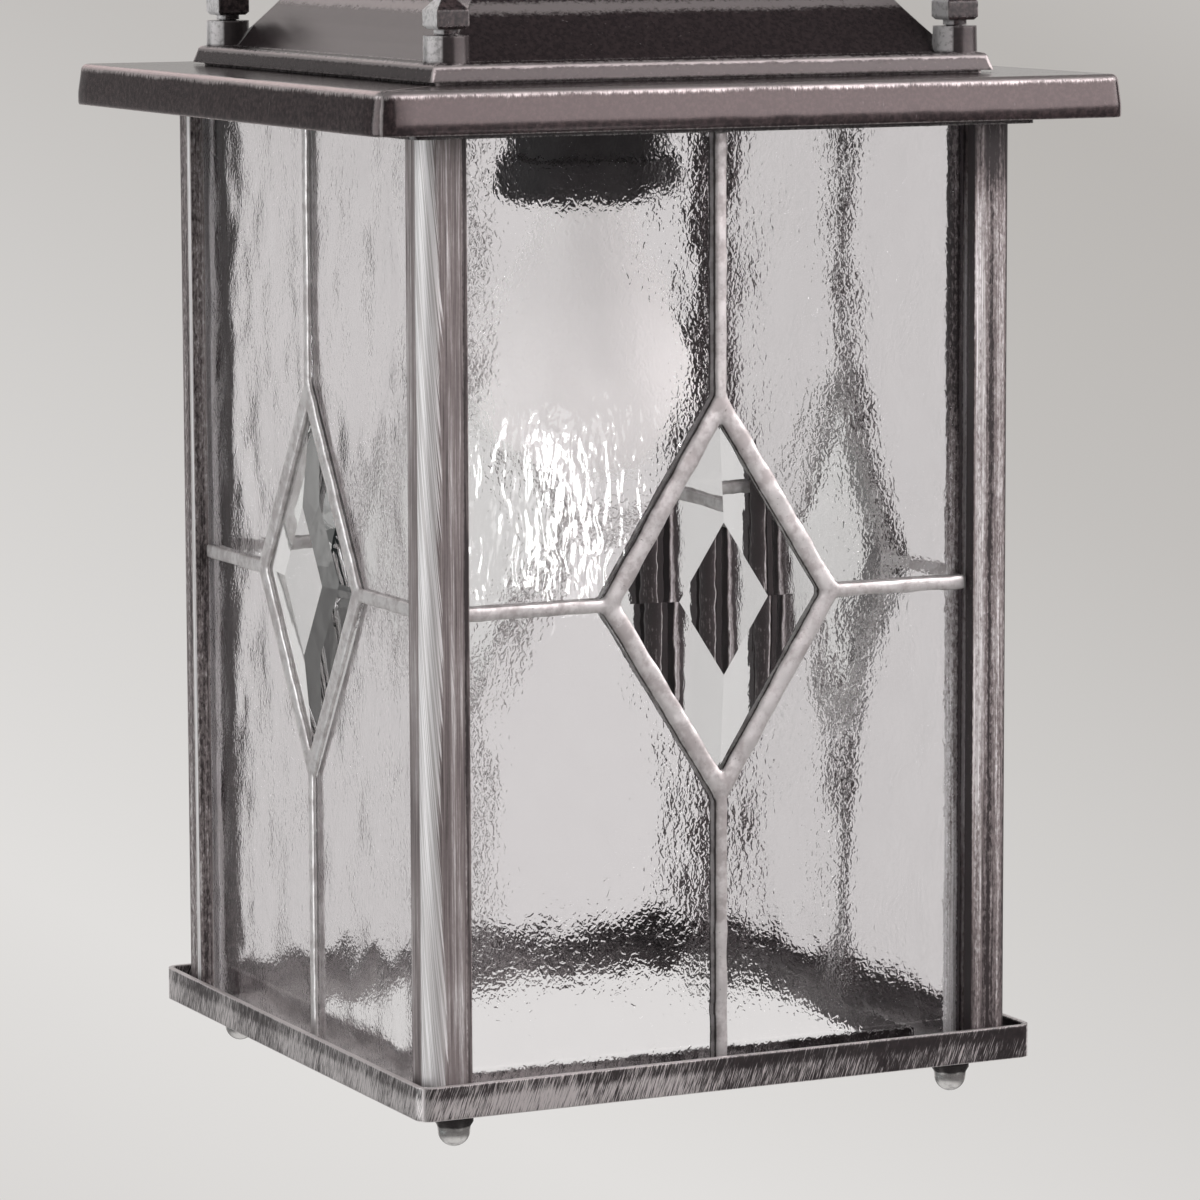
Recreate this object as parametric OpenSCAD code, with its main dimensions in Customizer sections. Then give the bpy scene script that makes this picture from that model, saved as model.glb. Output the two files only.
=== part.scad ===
// Square hanging porch lantern with a pagoda roof, leaded water-glass panes and a short chain.
// Millimetres, +Z up. The origin is the centre of the ceiling rose's mounting face.
// The front pane looks along -Y and the lantern hangs straight down along -Z.

/* [Ceiling rose] */
// Diameter of the rose at the ceiling
rose_d = 106; // [90:1:120]
// Depth of the rose
rose_h = 24; // [20:1:30]
// Wall of the rose
rose_wall = 2.5; // [2:0.5:4]
// Distance between the two fixing screws
fixing_spacing = 70; // [60:1:76]
// Diameter of the fixing screw holes
fixing_hole_d = 4.5; // [4:0.5:6]
// Diameter of the bosses round the fixing holes
fixing_boss_d = 11; // [9:0.5:13]
// Distance of the cable outlet from the centre of the rose
outlet_offset = 27; // [25:1:32]
// Bore of the cable grommets
cable_d = 7; // [5:0.5:8]
// Thread of the ceiling eye
eye_thread_d = 8; // [6:1:10]

/* [Chain] */
// Thickness of the wire of the links and the ceiling eye
wire_d = 5; // [4:0.5:5.5]
// Inner width of a link and of the ceiling eye
link_in_w = 14; // [12.5:0.5:18]
// Inner length of a link
link_in_l = 30; // [27:1:36]
// Gap between one link and the next
link_gap = 0.3; // [0.2:0.05:0.5]
// Thickness of the hanging loop
loop_wire = 6; // [5:0.5:7]
// Inner width of the hanging loop
loop_in_w = 16; // [14:0.5:20]
// Height of the loop's collar
collar_h = 16; // [13:1:22]
// Diameter of the loop's collar
collar_d = 19; // [17:0.5:22]

/* [Roof] */
// Height of the cap over the roof's neck
cap_h = 20; // [14:1:26]
// Width of the square neck of the roof
neck_w = 44; // [38:1:52]
// Height of the curved roof above its ledge
roof_h = 85; // [70:1:95]
// Width of the ledge between the plinth's side and the curved roof
ledge_w = 8; // [6.5:0.5:10]
// Slope of the roof at the ledge, in degrees
roof_slope = 48; // [44:1:52]
// How far the plinth's foot reaches past the corner bosses
plinth_margin = 1.7; // [1.2:0.1:4]
// Height of the plinth's ledge over the eave
plinth_h = 5.5; // [4.5:0.5:8]
// Draft of the plinth's side
plinth_draft = 1; // [0.5:0.1:1.5]
// Rounding of the plinth's upper edge
plinth_round = 1.6; // [1:0.1:2]
// Height of the dark joint under the plinth
joint_h = 0.8; // [0.5:0.1:1.2]
// Depth of the dark joint under the plinth
joint_in = 2.5; // [1.5:0.5:4]
// Wall of the roof casting
roof_wall = 3.5; // [3:0.5:4.5]
// Diameter of the corner bosses
boss_d = 12; // [11:0.5:14]
// Height of the corner bosses above the ledge
boss_h = 7.1; // [5:0.1:10]

/* [Eave] */
// How far the eave tray reaches past the top frame
eave_reach = 17.5; // [13:0.5:24]
// Height of the eave tray
eave_h = 11.5; // [9:0.5:16]
// Wall of the eave tray
eave_wall = 3; // [2:0.5:4]
// Radius of the eave tray's corners
eave_corner = 5; // [4:0.5:8]
// Rounding of the eave tray's upper edge
eave_round = 1.4; // [0.8:0.1:2]

/* [Cage] */
// Gap between the posts and the base tray's rim
tray_gap = 3.3; // [2:0.1:6]
// Radius of the corners of the base tray and the top frame
tray_corner = 4; // [3:0.5:6]
// Thickness of the top frame
top_frame_t = 1.9; // [1.5:0.1:3]
// Height of the cage between the top frame and the base floor
cage_h = 254; // [230:1:280]
// Height of the base tray's rim
tray_h = 9; // [7:0.5:14]
// Thickness of the base tray's floor
floor_t = 2.5; // [2:0.5:4]
// Thickness of the base tray's rim
rim_t = 1.6; // [1.2:0.1:2.5]
// Distance between the eave's bosses and the square opening in the eave, the frame and the base
opening_margin = 3.3; // [2:0.1:8]
// Height of the lip round the base tray's opening
lip_h = 3.5; // [2:0.5:5]
// Width across the outsides of the posts
posts_w = 174.2; // [170:0.2:178]
// Width of each outer face of a post
post_face = 12; // [11:0.5:14]
// Thickness of a post's outer wall
post_wall = 3.8; // [3:0.1:4.5]
// Thickness of a post's inner wall
post_inner = 1.8; // [1.4:0.1:2]
// Radius of a post's outer corner
post_corner = 4.5; // [3:0.5:5.5]
// How far a pane reaches into a post
pane_bite = 3.1; // [2.5:0.1:3.2]

/* [Panes] */
// Thickness of the water glass
glass_t = 3; // [2.5:0.1:3.2]
// Gap round a pane in its grooves
glass_gap = 0.2; // [0.1:0.05:0.4]
// Distance between the left and right corners of the lead diamond
diamond_w = 66; // [56:1:76]
// Distance between the top and bottom corners of the lead diamond
diamond_h = 104; // [90:1:116]
// Height of the diamond's centre over the middle of the pane
diamond_up = 2.5; // [-5:0.5:8]
// Width of the lead round the diamond
lead_diamond_w = 5; // [4:0.5:6]
// Width of the lead of the arms
lead_arm_w = 4; // [3:0.5:5]
// How far the lead stands out of the glass
lead_rise = 1.1; // [0.6:0.1:1.4]
// Thickness of the lead's web between two pieces of glass
lead_web = 1.2; // [0.8:0.1:1.6]
// Play of the glass in the lead
lead_play = 0.1; // [0.05:0.05:0.2]
// Width of the flat facet in the middle of the bevelled diamond
facet_w = 26.5; // [20:0.5:32]
// Height of the flat facet in the middle of the bevelled diamond
facet_h = 41; // [34:0.5:48]
// How far the facet stands out of the bevelled diamond's edge
facet_rise = 2.4; // [1.5:0.1:3]

/* [Tie rods] */
// Diameter of the tie rods
rod_d = 4.8; // [4:0.1:5]
// Gap between a tie rod and the inside of its post
rod_gap = 0.4; // [0.3:0.1:1]
// Clearance of the holes that the tie rods pass through, in diameter
rod_clear = 0.7; // [0.5:0.1:1]
// Width across the flats of the acorn nuts
acorn_af = 8; // [7.5:0.5:10]
// Height of the acorn nuts' hexagon
acorn_hex_h = 6; // [4:0.5:7]
// Height of the acorn nuts' dome
acorn_dome_h = 4.1; // [3:0.1:5]
// Thickness of the washers under the acorn nuts
washer_t = 1; // [0.8:0.1:1.6]
// Width of the finials' square block
finial_w = 9.2; // [8:0.1:10.5]
// Height of the finials' square block
finial_block_h = 4.9; // [4:0.1:7]
// Height of the finials' collar
finial_collar_h = 1.6; // [1:0.1:3]
// Height of the finials' spire above the block
finial_spire_h = 15; // [10:1:22]

/* [Lampholder] */
// Diameter of the threaded tube
tube_d = 10; // [9:0.5:11]
// Bore of the threaded tube
tube_bore = 7; // [6:0.5:7.5]
// Diameter of the lampholder's body
holder_d = 44; // [42:1:50]
// Length of the lampholder's body
holder_body_h = 34; // [32:1:40]
// Height of the lampholder's cap
holder_cap_h = 20; // [16:1:26]
// How far the lampholder's lower end hangs below the top of the eave
holder_drop = 36; // [30:1:48]
// Height of the lampholder's ring
ring_h = 10; // [8:0.5:12]
// Diameter of the bulb's screw cap
bulb_cap_d = 26.2; // [26:0.1:26.8]
// Play between the bulb's screw cap and its shell, in radius
cap_play = 0.35; // [0.3:0.05:0.5]
// Diameter of the bulb
bulb_d = 60; // [56:1:64]
// Length of the bulb with its cap
bulb_l = 106; // [100:1:112]
// Thickness of the bulb's glass
bulb_wall = 1; // [0.8:0.1:1.2]

/* [Hidden] */
$fn = 64;
eps = 0.01;
SIDES = ["front", "right", "back", "left"];
CORNERS = ["front_left", "front_right", "back_right", "back_left"];
CORNER_SIGNS = [[-1, -1], [1, -1], [1, 1], [-1, 1]];
// The four pieces of water glass in a pane: to the left or right, up or down
QUADS = ["upper_left", "upper_right", "lower_right", "lower_left"];
QUAD_SIGNS = [[-1, 1], [1, 1], [1, -1], [-1, -1]];

// Heights down the chain; each link hangs on the wire above it
eye_neck = 4;
eye_z = -(rose_h + eye_neck + wire_d + link_in_w / 2);
link_pitch = link_in_l - link_gap;
hinge_z = [for (i = [0 : 3]) eye_z - (link_in_w + wire_d) / 2 - i * link_pitch];
loop_z = hinge_z[3] + wire_d / 2 + link_gap - loop_in_w / 2;
collar_top = loop_z - (loop_in_w + loop_wire) / 2;
collar_z = collar_top - collar_h;
crown_top = collar_z - cap_h;
eave_top = crown_top - roof_h - plinth_h;

// Heights down the cage
frame_top = eave_top - eave_h;
cage_top = frame_top - top_frame_t;
floor_z = cage_top - cage_h;
base_z = floor_z - floor_t;
washer_z = base_z - washer_t;
acorn_z = washer_z - acorn_hex_h;
boss_top = eave_top + plinth_h + boss_h;
finial_z = boss_top + finial_collar_h;
finial_seat_gap = 0.3;
finial_roof_t = 0.5;
rod_low = acorn_z + 1;
rod_high = finial_z + finial_block_h - finial_roof_t - 0.7;

// Plan sizes
post_at = posts_w / 2;
flange_at = post_at - post_face;
groove_t = glass_t + 2 * glass_gap;
post_in = post_wall + groove_t + post_inner;
rod_at = post_at - post_in - rod_gap - rod_d / 2;
rod_hole_d = rod_d + rod_clear;
tray_w = posts_w + 2 * (tray_gap + rim_t);
eave_w = tray_w + 2 * eave_reach;
seat_in = 2;
seat_w = tray_w - 2 * seat_in;
opening_w = 2 * (rod_at - boss_d / 2 - opening_margin);
plinth_w = 2 * (rod_at + boss_d / 2 + plinth_margin);
roof_w = plinth_w - 2 * ledge_w;
glass_out = post_at - post_wall - glass_gap;
glass_mid = glass_out - glass_t / 2;
pane_half = flange_at + pane_bite;
groove_half = pane_half + glass_gap;
pane_low = floor_z + glass_gap;
pane_high = cage_top - glass_gap;
diamond_z = (cage_top + floor_z) / 2 + diamond_up;
lead_end_gap = 0.3;

// The lead diamond's edge as a line: its unit normal and its distance from the centre
edge_l = norm([diamond_w, diamond_h]) / 2;
edge_n = [diamond_h / 2, diamond_w / 2] / edge_l;
edge_k = diamond_w * diamond_h / 4 / edge_l;
glass_back_off = lead_web / 2 + lead_play;

// The lampholder and the bulb
ring_d = holder_d + 5;
shell_t = 0.8;
shell_r = bulb_cap_d / 2 + cap_play;
contact_t = 1.2;
holder_low = eave_top - holder_drop;
holder_top = holder_low + holder_body_h;
holder_roof_t = 5;
bulb_cap_h = 26;
bulb_gap = 0.3;
bulb_top = holder_low + holder_body_h - holder_roof_t - contact_t - bulb_gap;
tube_low = holder_top + holder_cap_h - 10;
tube_high = collar_z + collar_h * 0.35;
outlet_z = collar_z + collar_h * 0.55;
thread_gap = 0.1;
sleeve_d = 5;

// Parts of the rose
grommet_wall = 2;
rose_floor = rose_h - rose_wall;
hub_h = 7;
hub_d = 24;
nut_af = eye_thread_d * 1.625;
nut_h = eye_thread_d * 0.8;
nut_washer_t = 1.6;
block = [26, 16, 12];

// A square with round corners, made of plain shapes
module round_square(w, r) {
    square([w, w - 2 * r], center = true);
    square([w - 2 * r, w], center = true);
    for (x = [-1, 1])
        for (y = [-1, 1])
            translate([x * (w / 2 - r), y * (w / 2 - r)])
                circle(r);
}

// A square frame: a plate with a square opening
module square_ring(w, inner, h, r) {
    difference() {
        linear_extrude(h)
            round_square(w, r);
        translate([-inner / 2, -inner / 2, -1])
            cube([inner, inner, h + 2]);
    }
}

// A four-sided solid whose side view is the half outline given, mitred at its corners
module four_sided(half, reach) {
    outline = concat(half, [for (i = [len(half) - 1 : -1 : 0]) [-half[i][0], half[i][1]]]);
    intersection() {
        rotate([90, 0, 0])
            linear_extrude(reach, center = true)
                polygon(outline);
        rotate([90, 0, 90])
            linear_extrude(reach, center = true)
                polygon(outline);
    }
}

// Puts the children at the four tie rods
module at_rods() {
    for (s = CORNER_SIGNS)
        translate([s[0] * rod_at, s[1] * rod_at, 0])
            children();
}

module hexagon(af) {
    circle(d = af / cos(30), $fn = 6);
}

// A chain link in the XZ plane: two half rings and two straight legs
module link_solid() {
    r = (link_in_w + wire_d) / 2;
    leg = link_in_l - link_in_w;
    for (end = [0, 1])
        translate([0, 0, end * leg])
            rotate([end * 180 + 90, 0, 0])
                rotate([0, 0, 180])
                    rotate_extrude(angle = 180)
                        translate([r, 0])
                            circle(d = wire_d, $fn = 32);
    for (x = [-r, r])
        translate([x, 0, 0])
            cylinder(d = wire_d, h = leg, $fn = 32);
}

// A link hanging on the wire whose centre is at the given height
module chain_link(i, turn) {
    low = hinge_z[i] + wire_d / 2 + link_gap - link_in_l + link_in_w / 2;
    color("#2f2d2e")
        translate([0, 0, low])
            rotate([0, 0, turn])
                link_solid();
}

// A ring in the XZ plane
module ring_xz(inner, wire) {
    rotate([90, 0, 0])
        rotate_extrude()
            translate([(inner + wire) / 2, 0])
                circle(d = wire, $fn = 32);
}

module ceiling_rose() {
    color("#2f2d2e") difference() {
        union() {
            difference() {
                translate([0, 0, -rose_h])
                    rotate_extrude()
                        polygon([[0, 0], [rose_d / 2 - 10, 0], [rose_d / 2 - 6, 1.2], [rose_d / 2 - 3, 4.5],
                                 [rose_d / 2 - 2, 9], [rose_d / 2 - 2, rose_h - 4], [rose_d / 2, rose_h - 3],
                                 [rose_d / 2, rose_h], [0, rose_h]]);
                translate([0, 0, -rose_floor])
                    cylinder(d = rose_d - 2 * rose_wall - 8, h = rose_floor + 1);
            }
            translate([0, 0, -rose_h + eps])
                cylinder(d = hub_d, h = hub_h);
            for (x = [-1, 1])
                translate([x * fixing_spacing / 2, 0, -rose_h + 1])
                    cylinder(d = fixing_boss_d, h = rose_h - 1);
        }
        for (x = [-1, 1])
            translate([x * fixing_spacing / 2, 0, -rose_h - 1])
                cylinder(d = fixing_hole_d, h = rose_h + 2);
        translate([0, 0, -rose_h - 1])
            cylinder(d = eye_thread_d + 2 * thread_gap, h = hub_h + 3);
        translate([0, outlet_offset, -rose_h - 1])
            cylinder(d = cable_d + 2 * grommet_wall, h = rose_wall + 2);
    }
}

module ceiling_eye() {
    top = -rose_h + hub_h + nut_washer_t + nut_h + 2;
    color("#2f2d2e") {
        translate([0, 0, eye_z])
            ring_xz(link_in_w, wire_d);
        translate([0, 0, -rose_h - eye_neck])
            cylinder(d = eye_thread_d + 5, h = eye_neck);
        translate([0, 0, eye_z + (link_in_w + wire_d) / 2])
            cylinder(d = eye_thread_d, h = top - eye_z - (link_in_w + wire_d) / 2);
    }
}

module eye_nut() {
    color("silver")
        translate([0, 0, -rose_h + hub_h + eps])
            difference() {
                union() {
                    cylinder(d = nut_af + 4, h = nut_washer_t);
                    translate([0, 0, nut_washer_t - eps])
                        linear_extrude(nut_h)
                            hexagon(nut_af);
                }
                translate([0, 0, -1])
                    cylinder(d = eye_thread_d + thread_gap, h = nut_washer_t + nut_h + 2);
            }
}

// A rubber ring with a groove round it for the edge of the outlet hole
module rose_grommet() {
    bore = cable_d / 2;
    groove = bore + grommet_wall - 0.05;
    flange = bore + 2 * grommet_wall;
    color("#1c1c1c")
        translate([0, outlet_offset, -rose_h])
            rotate_extrude()
                polygon([[bore, -1.5], [flange, -1.5], [flange, 0], [groove, 0], [groove, rose_wall],
                         [flange, rose_wall], [flange - 1, rose_wall + 2], [bore, rose_wall + 2]]);
}

module terminal_block() {
    color("#e8e6e0")
        translate([-block[0] / 2, -outlet_offset - block[1] / 2, -rose_floor])
            difference() {
                cube(block);
                for (i = [0 : 2])
                    translate([block[0] * (i + 0.5) / 3, -1, block[2] * 0.4])
                        rotate([-90, 0, 0])
                            cylinder(d = 4, h = block[1] + 2, $fn = 24);
                for (i = [0 : 2])
                    for (y = [0.28, 0.72])
                        translate([block[0] * (i + 0.5) / 3, block[1] * y, block[2] * 0.7])
                            cylinder(d = 3.4, h = block[2], $fn = 24);
            }
}

module hanging_loop() {
    color("#2f2d2e") difference() {
        union() {
            translate([0, 0, loop_z])
                ring_xz(loop_in_w, loop_wire);
            translate([0, 0, collar_z])
                cylinder(d = collar_d, h = collar_h * 0.78);
            translate([0, 0, collar_z + collar_h * 0.78 - eps])
                cylinder(r1 = collar_d / 2, r2 = loop_wire * 0.55, h = collar_h * 0.22 + 1);
        }
        translate([0, 0, collar_z - 1])
            cylinder(d = tube_d + thread_gap, h = collar_h * 0.7 + 1);
        translate([0, 0, outlet_z])
            rotate([90, 0, 0])
                cylinder(d = sleeve_d + 0.1, h = collar_d, $fn = 32);
    }
}

// The sleeve that guards the cable where it leaves the side of the collar
module loop_grommet() {
    out = collar_d / 2;
    color("#1c1c1c")
        translate([0, 0, outlet_z])
            rotate([90, 0, 0])
                difference() {
                    union() {
                        translate([0, 0, tube_d / 2 + 0.5])
                            cylinder(d = sleeve_d, h = out - tube_d / 2 + 1, $fn = 32);
                        translate([0, 0, out + 0.05])
                            cylinder(d = sleeve_d + 2, h = 1.6, $fn = 32);
                    }
                    cylinder(d = sleeve_d - 1.6, h = out + 4, $fn = 32);
                }
}

// A bell over the neck: a plain rim, then a quarter wave that rises to the collar
module top_cap() {
    low = neck_w / 2 - 2;
    wave = low - 2;
    high = collar_d / 2 + 1;
    bore = tube_d / 2 + 0.3;
    rim_h = 4.5;
    wave_h = cap_h - rim_h - 2;
    steps = 8;
    color("#2f2d2e")
        translate([0, 0, crown_top])
            rotate_extrude()
                polygon(concat(
                    [[bore, 0], [low, 0], [low, rim_h - 1.5], [wave, rim_h]],
                    [for (i = [1 : steps])
                        let (a = 90 * i / steps)
                        [wave - (wave - high) * sin(a), rim_h + wave_h * (1 - cos(a))]],
                    [[high, cap_h], [bore, cap_h]]));
}

// The roof's curve: an arc that starts at the ledge and steepens towards the neck
roof_run = (roof_w - neck_w) / 2;
roof_chord = atan2(roof_h, roof_run);
roof_end = 2 * roof_chord - roof_slope;
roof_r = roof_run / (sin(roof_end) - sin(roof_slope));
roof_steps = 20;
function roof_point(i, inset) =
    let (a = roof_slope + (roof_end - roof_slope) * i / roof_steps)
    [roof_w / 2 - roof_r * (sin(a) - sin(roof_slope)) - inset * sin(a),
     plinth_h + roof_r * (cos(roof_slope) - cos(a)) - inset * cos(a)];

module roof_crown() {
    foot = plinth_w / 2 - joint_in;
    ledge = plinth_w / 2 - plinth_draft;
    outer = concat(
        [[foot, 0], [foot, joint_h], [plinth_w / 2, joint_h], [ledge, plinth_h - plinth_round]],
        [for (a = [30, 60, 90])
            [ledge - plinth_round * (1 - cos(a)), plinth_h - plinth_round * (1 - sin(a))]],
        [for (i = [0 : roof_steps]) roof_point(i, 0)]);
    inner = concat(
        [[opening_w / 2, -1], [opening_w / 2, plinth_h - roof_wall]],
        [for (i = [2 : roof_steps - 1]) roof_point(i, roof_wall)]);
    color("#2f2d2e")
        translate([0, 0, eave_top])
            difference() {
                union() {
                    four_sided(outer, eave_w);
                    at_rods()
                        translate([0, 0, plinth_h - 1])
                            cylinder(r1 = boss_d / 2 + 0.15, r2 = boss_d / 2 - 0.05, h = boss_h + 1);
                }
                four_sided(inner, eave_w);
                at_rods()
                    translate([0, 0, -1])
                        cylinder(d = rod_hole_d, h = plinth_h + boss_h + 2);
                translate([0, 0, roof_h - 10])
                    cylinder(d = tube_d + 0.5, h = 30);
            }
}

module threaded_tube() {
    color("#b5a06a")
        translate([0, 0, tube_low])
            difference() {
                cylinder(d = tube_d, h = tube_high - tube_low);
                translate([0, 0, -1])
                    cylinder(d = tube_bore, h = tube_high - tube_low + 2);
            }
}

// The lowest point of the roof's ceiling, where the nut under the neck bears
neck_under = eave_top + roof_point(roof_steps - 1, roof_wall)[1];

module tube_nuts() {
    nut_t = 4;
    color("#b5a06a")
        for (z = [neck_under - nut_t, holder_top + holder_cap_h + eps])
            translate([0, 0, z])
                difference() {
                    linear_extrude(nut_t - eps)
                        hexagon(tube_d * 1.4);
                    translate([0, 0, -1])
                        cylinder(d = tube_d + thread_gap, h = nut_t + 2);
                }
}

module lampholder_cap() {
    r = holder_d / 2;
    top = holder_cap_h;
    color("#222020")
        translate([0, 0, holder_top])
            rotate_extrude()
                polygon([[r - 3, 0], [r, 0], [r, top * 0.35], [r - 2.5, top * 0.6], [r - 8, top * 0.75],
                         [9, top * 0.8], [9, top], [tube_d / 2 + thread_gap / 2, top],
                         [tube_d / 2 + thread_gap / 2, top * 0.35], [8, top * 0.3], [r - 5, top * 0.3]]);
}

// The ring screws onto the lower part of the body, which is slimmer there
ring_bore = holder_d / 2 - 2.5;
ring_play = 0.3;
ring_low = 2;

module lampholder_body() {
    r = holder_d / 2;
    hole = shell_r + shell_t + thread_gap;
    slim = ring_bore - ring_play;
    step = ring_low + ring_h + ring_play;
    roof = holder_body_h - holder_roof_t;
    color("#222020")
        translate([0, 0, holder_low])
            rotate_extrude()
                polygon([[hole, 0], [slim, 0], [slim, step], [r, step], [r, holder_body_h],
                         [6, holder_body_h], [6, roof], [hole, roof]]);
}

module screw_shell() {
    top = holder_body_h - holder_roof_t;
    color("#c8ad62")
        translate([0, 0, holder_low])
            rotate_extrude()
                polygon([[shell_r, 1.5], [shell_r + shell_t, 1.5], [shell_r + shell_t, top - eps],
                         [0, top - eps], [0, top - contact_t], [shell_r, top - contact_t]]);
}

module lampholder_ring() {
    color("#222020")
        translate([0, 0, holder_low])
            rotate_extrude()
                translate([0, ring_low])
                    polygon([[ring_bore, 0], [ring_d / 2 - 1, 0], [ring_d / 2, 1], [ring_d / 2, ring_h - 1],
                             [ring_d / 2 - 1, ring_h], [ring_bore, ring_h]]);
}

// The bulb's outline below its cap: a neck that swells into a round end
bulb_r = bulb_d / 2;
bulb_body_l = bulb_l - bulb_cap_h;
neck_r = bulb_cap_d / 2 - 1.5;
function bulb_side(inset) =
    let (r = bulb_r - inset, mid = -(bulb_body_l - bulb_r), n = 12)
    concat(
        [for (i = [0 : n])
            [neck_r - inset + (bulb_r - neck_r) * (1 - cos(180 * i / n)) / 2, mid * i / n]],
        [for (a = [7.5 : 7.5 : 82.5]) [r * cos(a), mid - r * sin(a)]],
        [[0, mid - r]]);

module bulb_glass() {
    color("white")
        translate([0, 0, bulb_top - bulb_cap_h])
            difference() {
                rotate_extrude()
                    polygon(concat([[0, 0]], bulb_side(0)));
                rotate_extrude()
                    polygon(concat([[0, 1], [neck_r - bulb_wall, 1]], bulb_side(bulb_wall)));
            }
}

module bulb_screw_cap() {
    turns = 4;
    pitch = 4;
    r = bulb_cap_d / 2;
    side = [for (i = [0 : turns * 2]) [i % 2 == 0 ? r - 0.9 : r, 4 + i * pitch / 2]];
    color("silver")
        translate([0, 0, bulb_top - bulb_cap_h + 0.05])
            rotate_extrude()
                polygon(concat([[0, 0], [r - 0.9, 0]], side,
                               [[r - 4, bulb_cap_h - 3], [5, bulb_cap_h - 2], [4, bulb_cap_h - 0.1],
                                [0, bulb_cap_h - 0.1]]));
}

// A square block on a collar, with a shoulder and a slim spire over it
module finial(i) {
    s = CORNER_SIGNS[i];
    bore = rod_d + 0.5;
    half = finial_w / 2;
    top = finial_block_h;
    color("#2f2d2e")
        translate([s[0] * rod_at, s[1] * rod_at, boss_top])
            difference() {
                union() {
                    translate([0, 0, finial_seat_gap])
                        cylinder(d = bore + 1.1, h = finial_collar_h + 1);
                    translate([0, 0, finial_collar_h])
                        four_sided([[half - 0.8, 0], [half, 0.9], [half, top], [2, top + 3.1],
                                    [1.7, top + 4.6]], 4 * finial_w);
                    translate([0, 0, finial_collar_h])
                        rotate_extrude($fn = 32)
                            polygon([[0, top], [1.7, top + 2], [1.7, top + 5], [3.1, top + 6.4],
                                     [3.1, top + 7.2], [1.9, top + 9], [1.1, top + finial_spire_h * 0.8],
                                     [0, top + finial_spire_h]]);
                }
                translate([0, 0, -1])
                    cylinder(d = bore, h = 1 + finial_collar_h + finial_block_h - finial_roof_t);
            }
}

module eave_tray() {
    half = eave_w / 2;
    outline = concat(
        [[half, -eave_h], [half, -eave_round]],
        [for (a = [30, 60, 90]) [half - eave_round * (1 - cos(a)), -eave_round * (1 - sin(a))]]);
    color("#2f2d2e")
        translate([0, 0, eave_top])
            difference() {
                intersection() {
                    four_sided(outline, eave_w + 10);
                    translate([0, 0, -eave_h])
                        linear_extrude(eave_h + 1)
                            round_square(eave_w, eave_corner);
                }
                translate([0, 0, -eave_h - 1])
                    difference() {
                        linear_extrude(eave_h + 1 - eave_wall)
                            round_square(eave_w - 2 * eave_wall, eave_corner - eave_wall + 0.5);
                        translate([-seat_w / 2, -seat_w / 2, -1])
                            cube([seat_w, seat_w, eave_h + 2]);
                    }
                translate([0, 0, -eave_h - 1])
                    difference() {
                        linear_extrude(eave_h + 1 - eave_wall)
                            square(seat_w - 2 * eave_wall, center = true);
                        at_rods()
                            cylinder(d = boss_d, h = eave_h + 2);
                    }
                translate([-opening_w / 2, -opening_w / 2, -eave_h - 2])
                    cube([opening_w, opening_w, eave_h + 4]);
                at_rods()
                    translate([0, 0, -eave_h - 1])
                        cylinder(d = rod_hole_d, h = eave_h + 2);
            }
}

module top_frame() {
    color("#2f2d2e")
        translate([0, 0, cage_top])
            difference() {
                square_ring(tray_w, opening_w, top_frame_t, tray_corner);
                at_rods()
                    translate([0, 0, -1])
                        cylinder(d = rod_hole_d, h = top_frame_t + 2);
            }
}

module base_tray() {
    color("#2f2d2e")
        translate([0, 0, base_z])
            difference() {
                linear_extrude(tray_h)
                    round_square(tray_w, tray_corner);
                translate([0, 0, floor_t])
                    difference() {
                        linear_extrude(tray_h)
                            round_square(tray_w - 2 * rim_t, tray_corner - rim_t);
                        translate([0, 0, -1])
                            square_ring(opening_w + 2 * rim_t, opening_w - 1, lip_h + 1, 1);
                    }
                translate([-opening_w / 2, -opening_w / 2, -1])
                    cube([opening_w, opening_w, tray_h + 2]);
                at_rods()
                    translate([0, 0, -1])
                        cylinder(d = rod_hole_d, h = tray_h + 2);
            }
}

module tie_rods() {
    color("#6d675f")
        at_rods()
            translate([0, 0, rod_low])
                cylinder(d = rod_d, h = rod_high - rod_low, $fn = 32);
}

module acorn_nuts() {
    dome_r = acorn_af / 2 - 0.2;
    tip = acorn_af / 2 + 0.7;
    color("#d8d4cf")
        at_rods()
            translate([0, 0, acorn_z])
                difference() {
                    union() {
                        intersection() {
                            linear_extrude(acorn_hex_h)
                                hexagon(acorn_af);
                            rotate_extrude()
                                polygon([[0, -1], [tip - 1, -1], [tip - 1, 0], [tip, 0.7], [tip, acorn_hex_h],
                                         [0, acorn_hex_h]]);
                        }
                        rotate_extrude()
                            polygon(concat([[0, 1]],
                                [for (a = [0 : 10 : 80]) [dome_r * cos(a), -acorn_dome_h * sin(a)]],
                                [[0, -acorn_dome_h]]));
                    }
                    translate([0, 0, rod_low - acorn_z - thread_gap / 2])
                        cylinder(d = rod_d + thread_gap, h = acorn_hex_h, $fn = 32);
                }
}

module base_washers() {
    color("#d8d4cf")
        at_rods()
            translate([0, 0, washer_z])
                difference() {
                    cylinder(d = acorn_af + 2, h = washer_t);
                    translate([0, 0, -1])
                        cylinder(d = rod_d + 2 * thread_gap, h = washer_t + 2, $fn = 32);
                }
}

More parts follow.
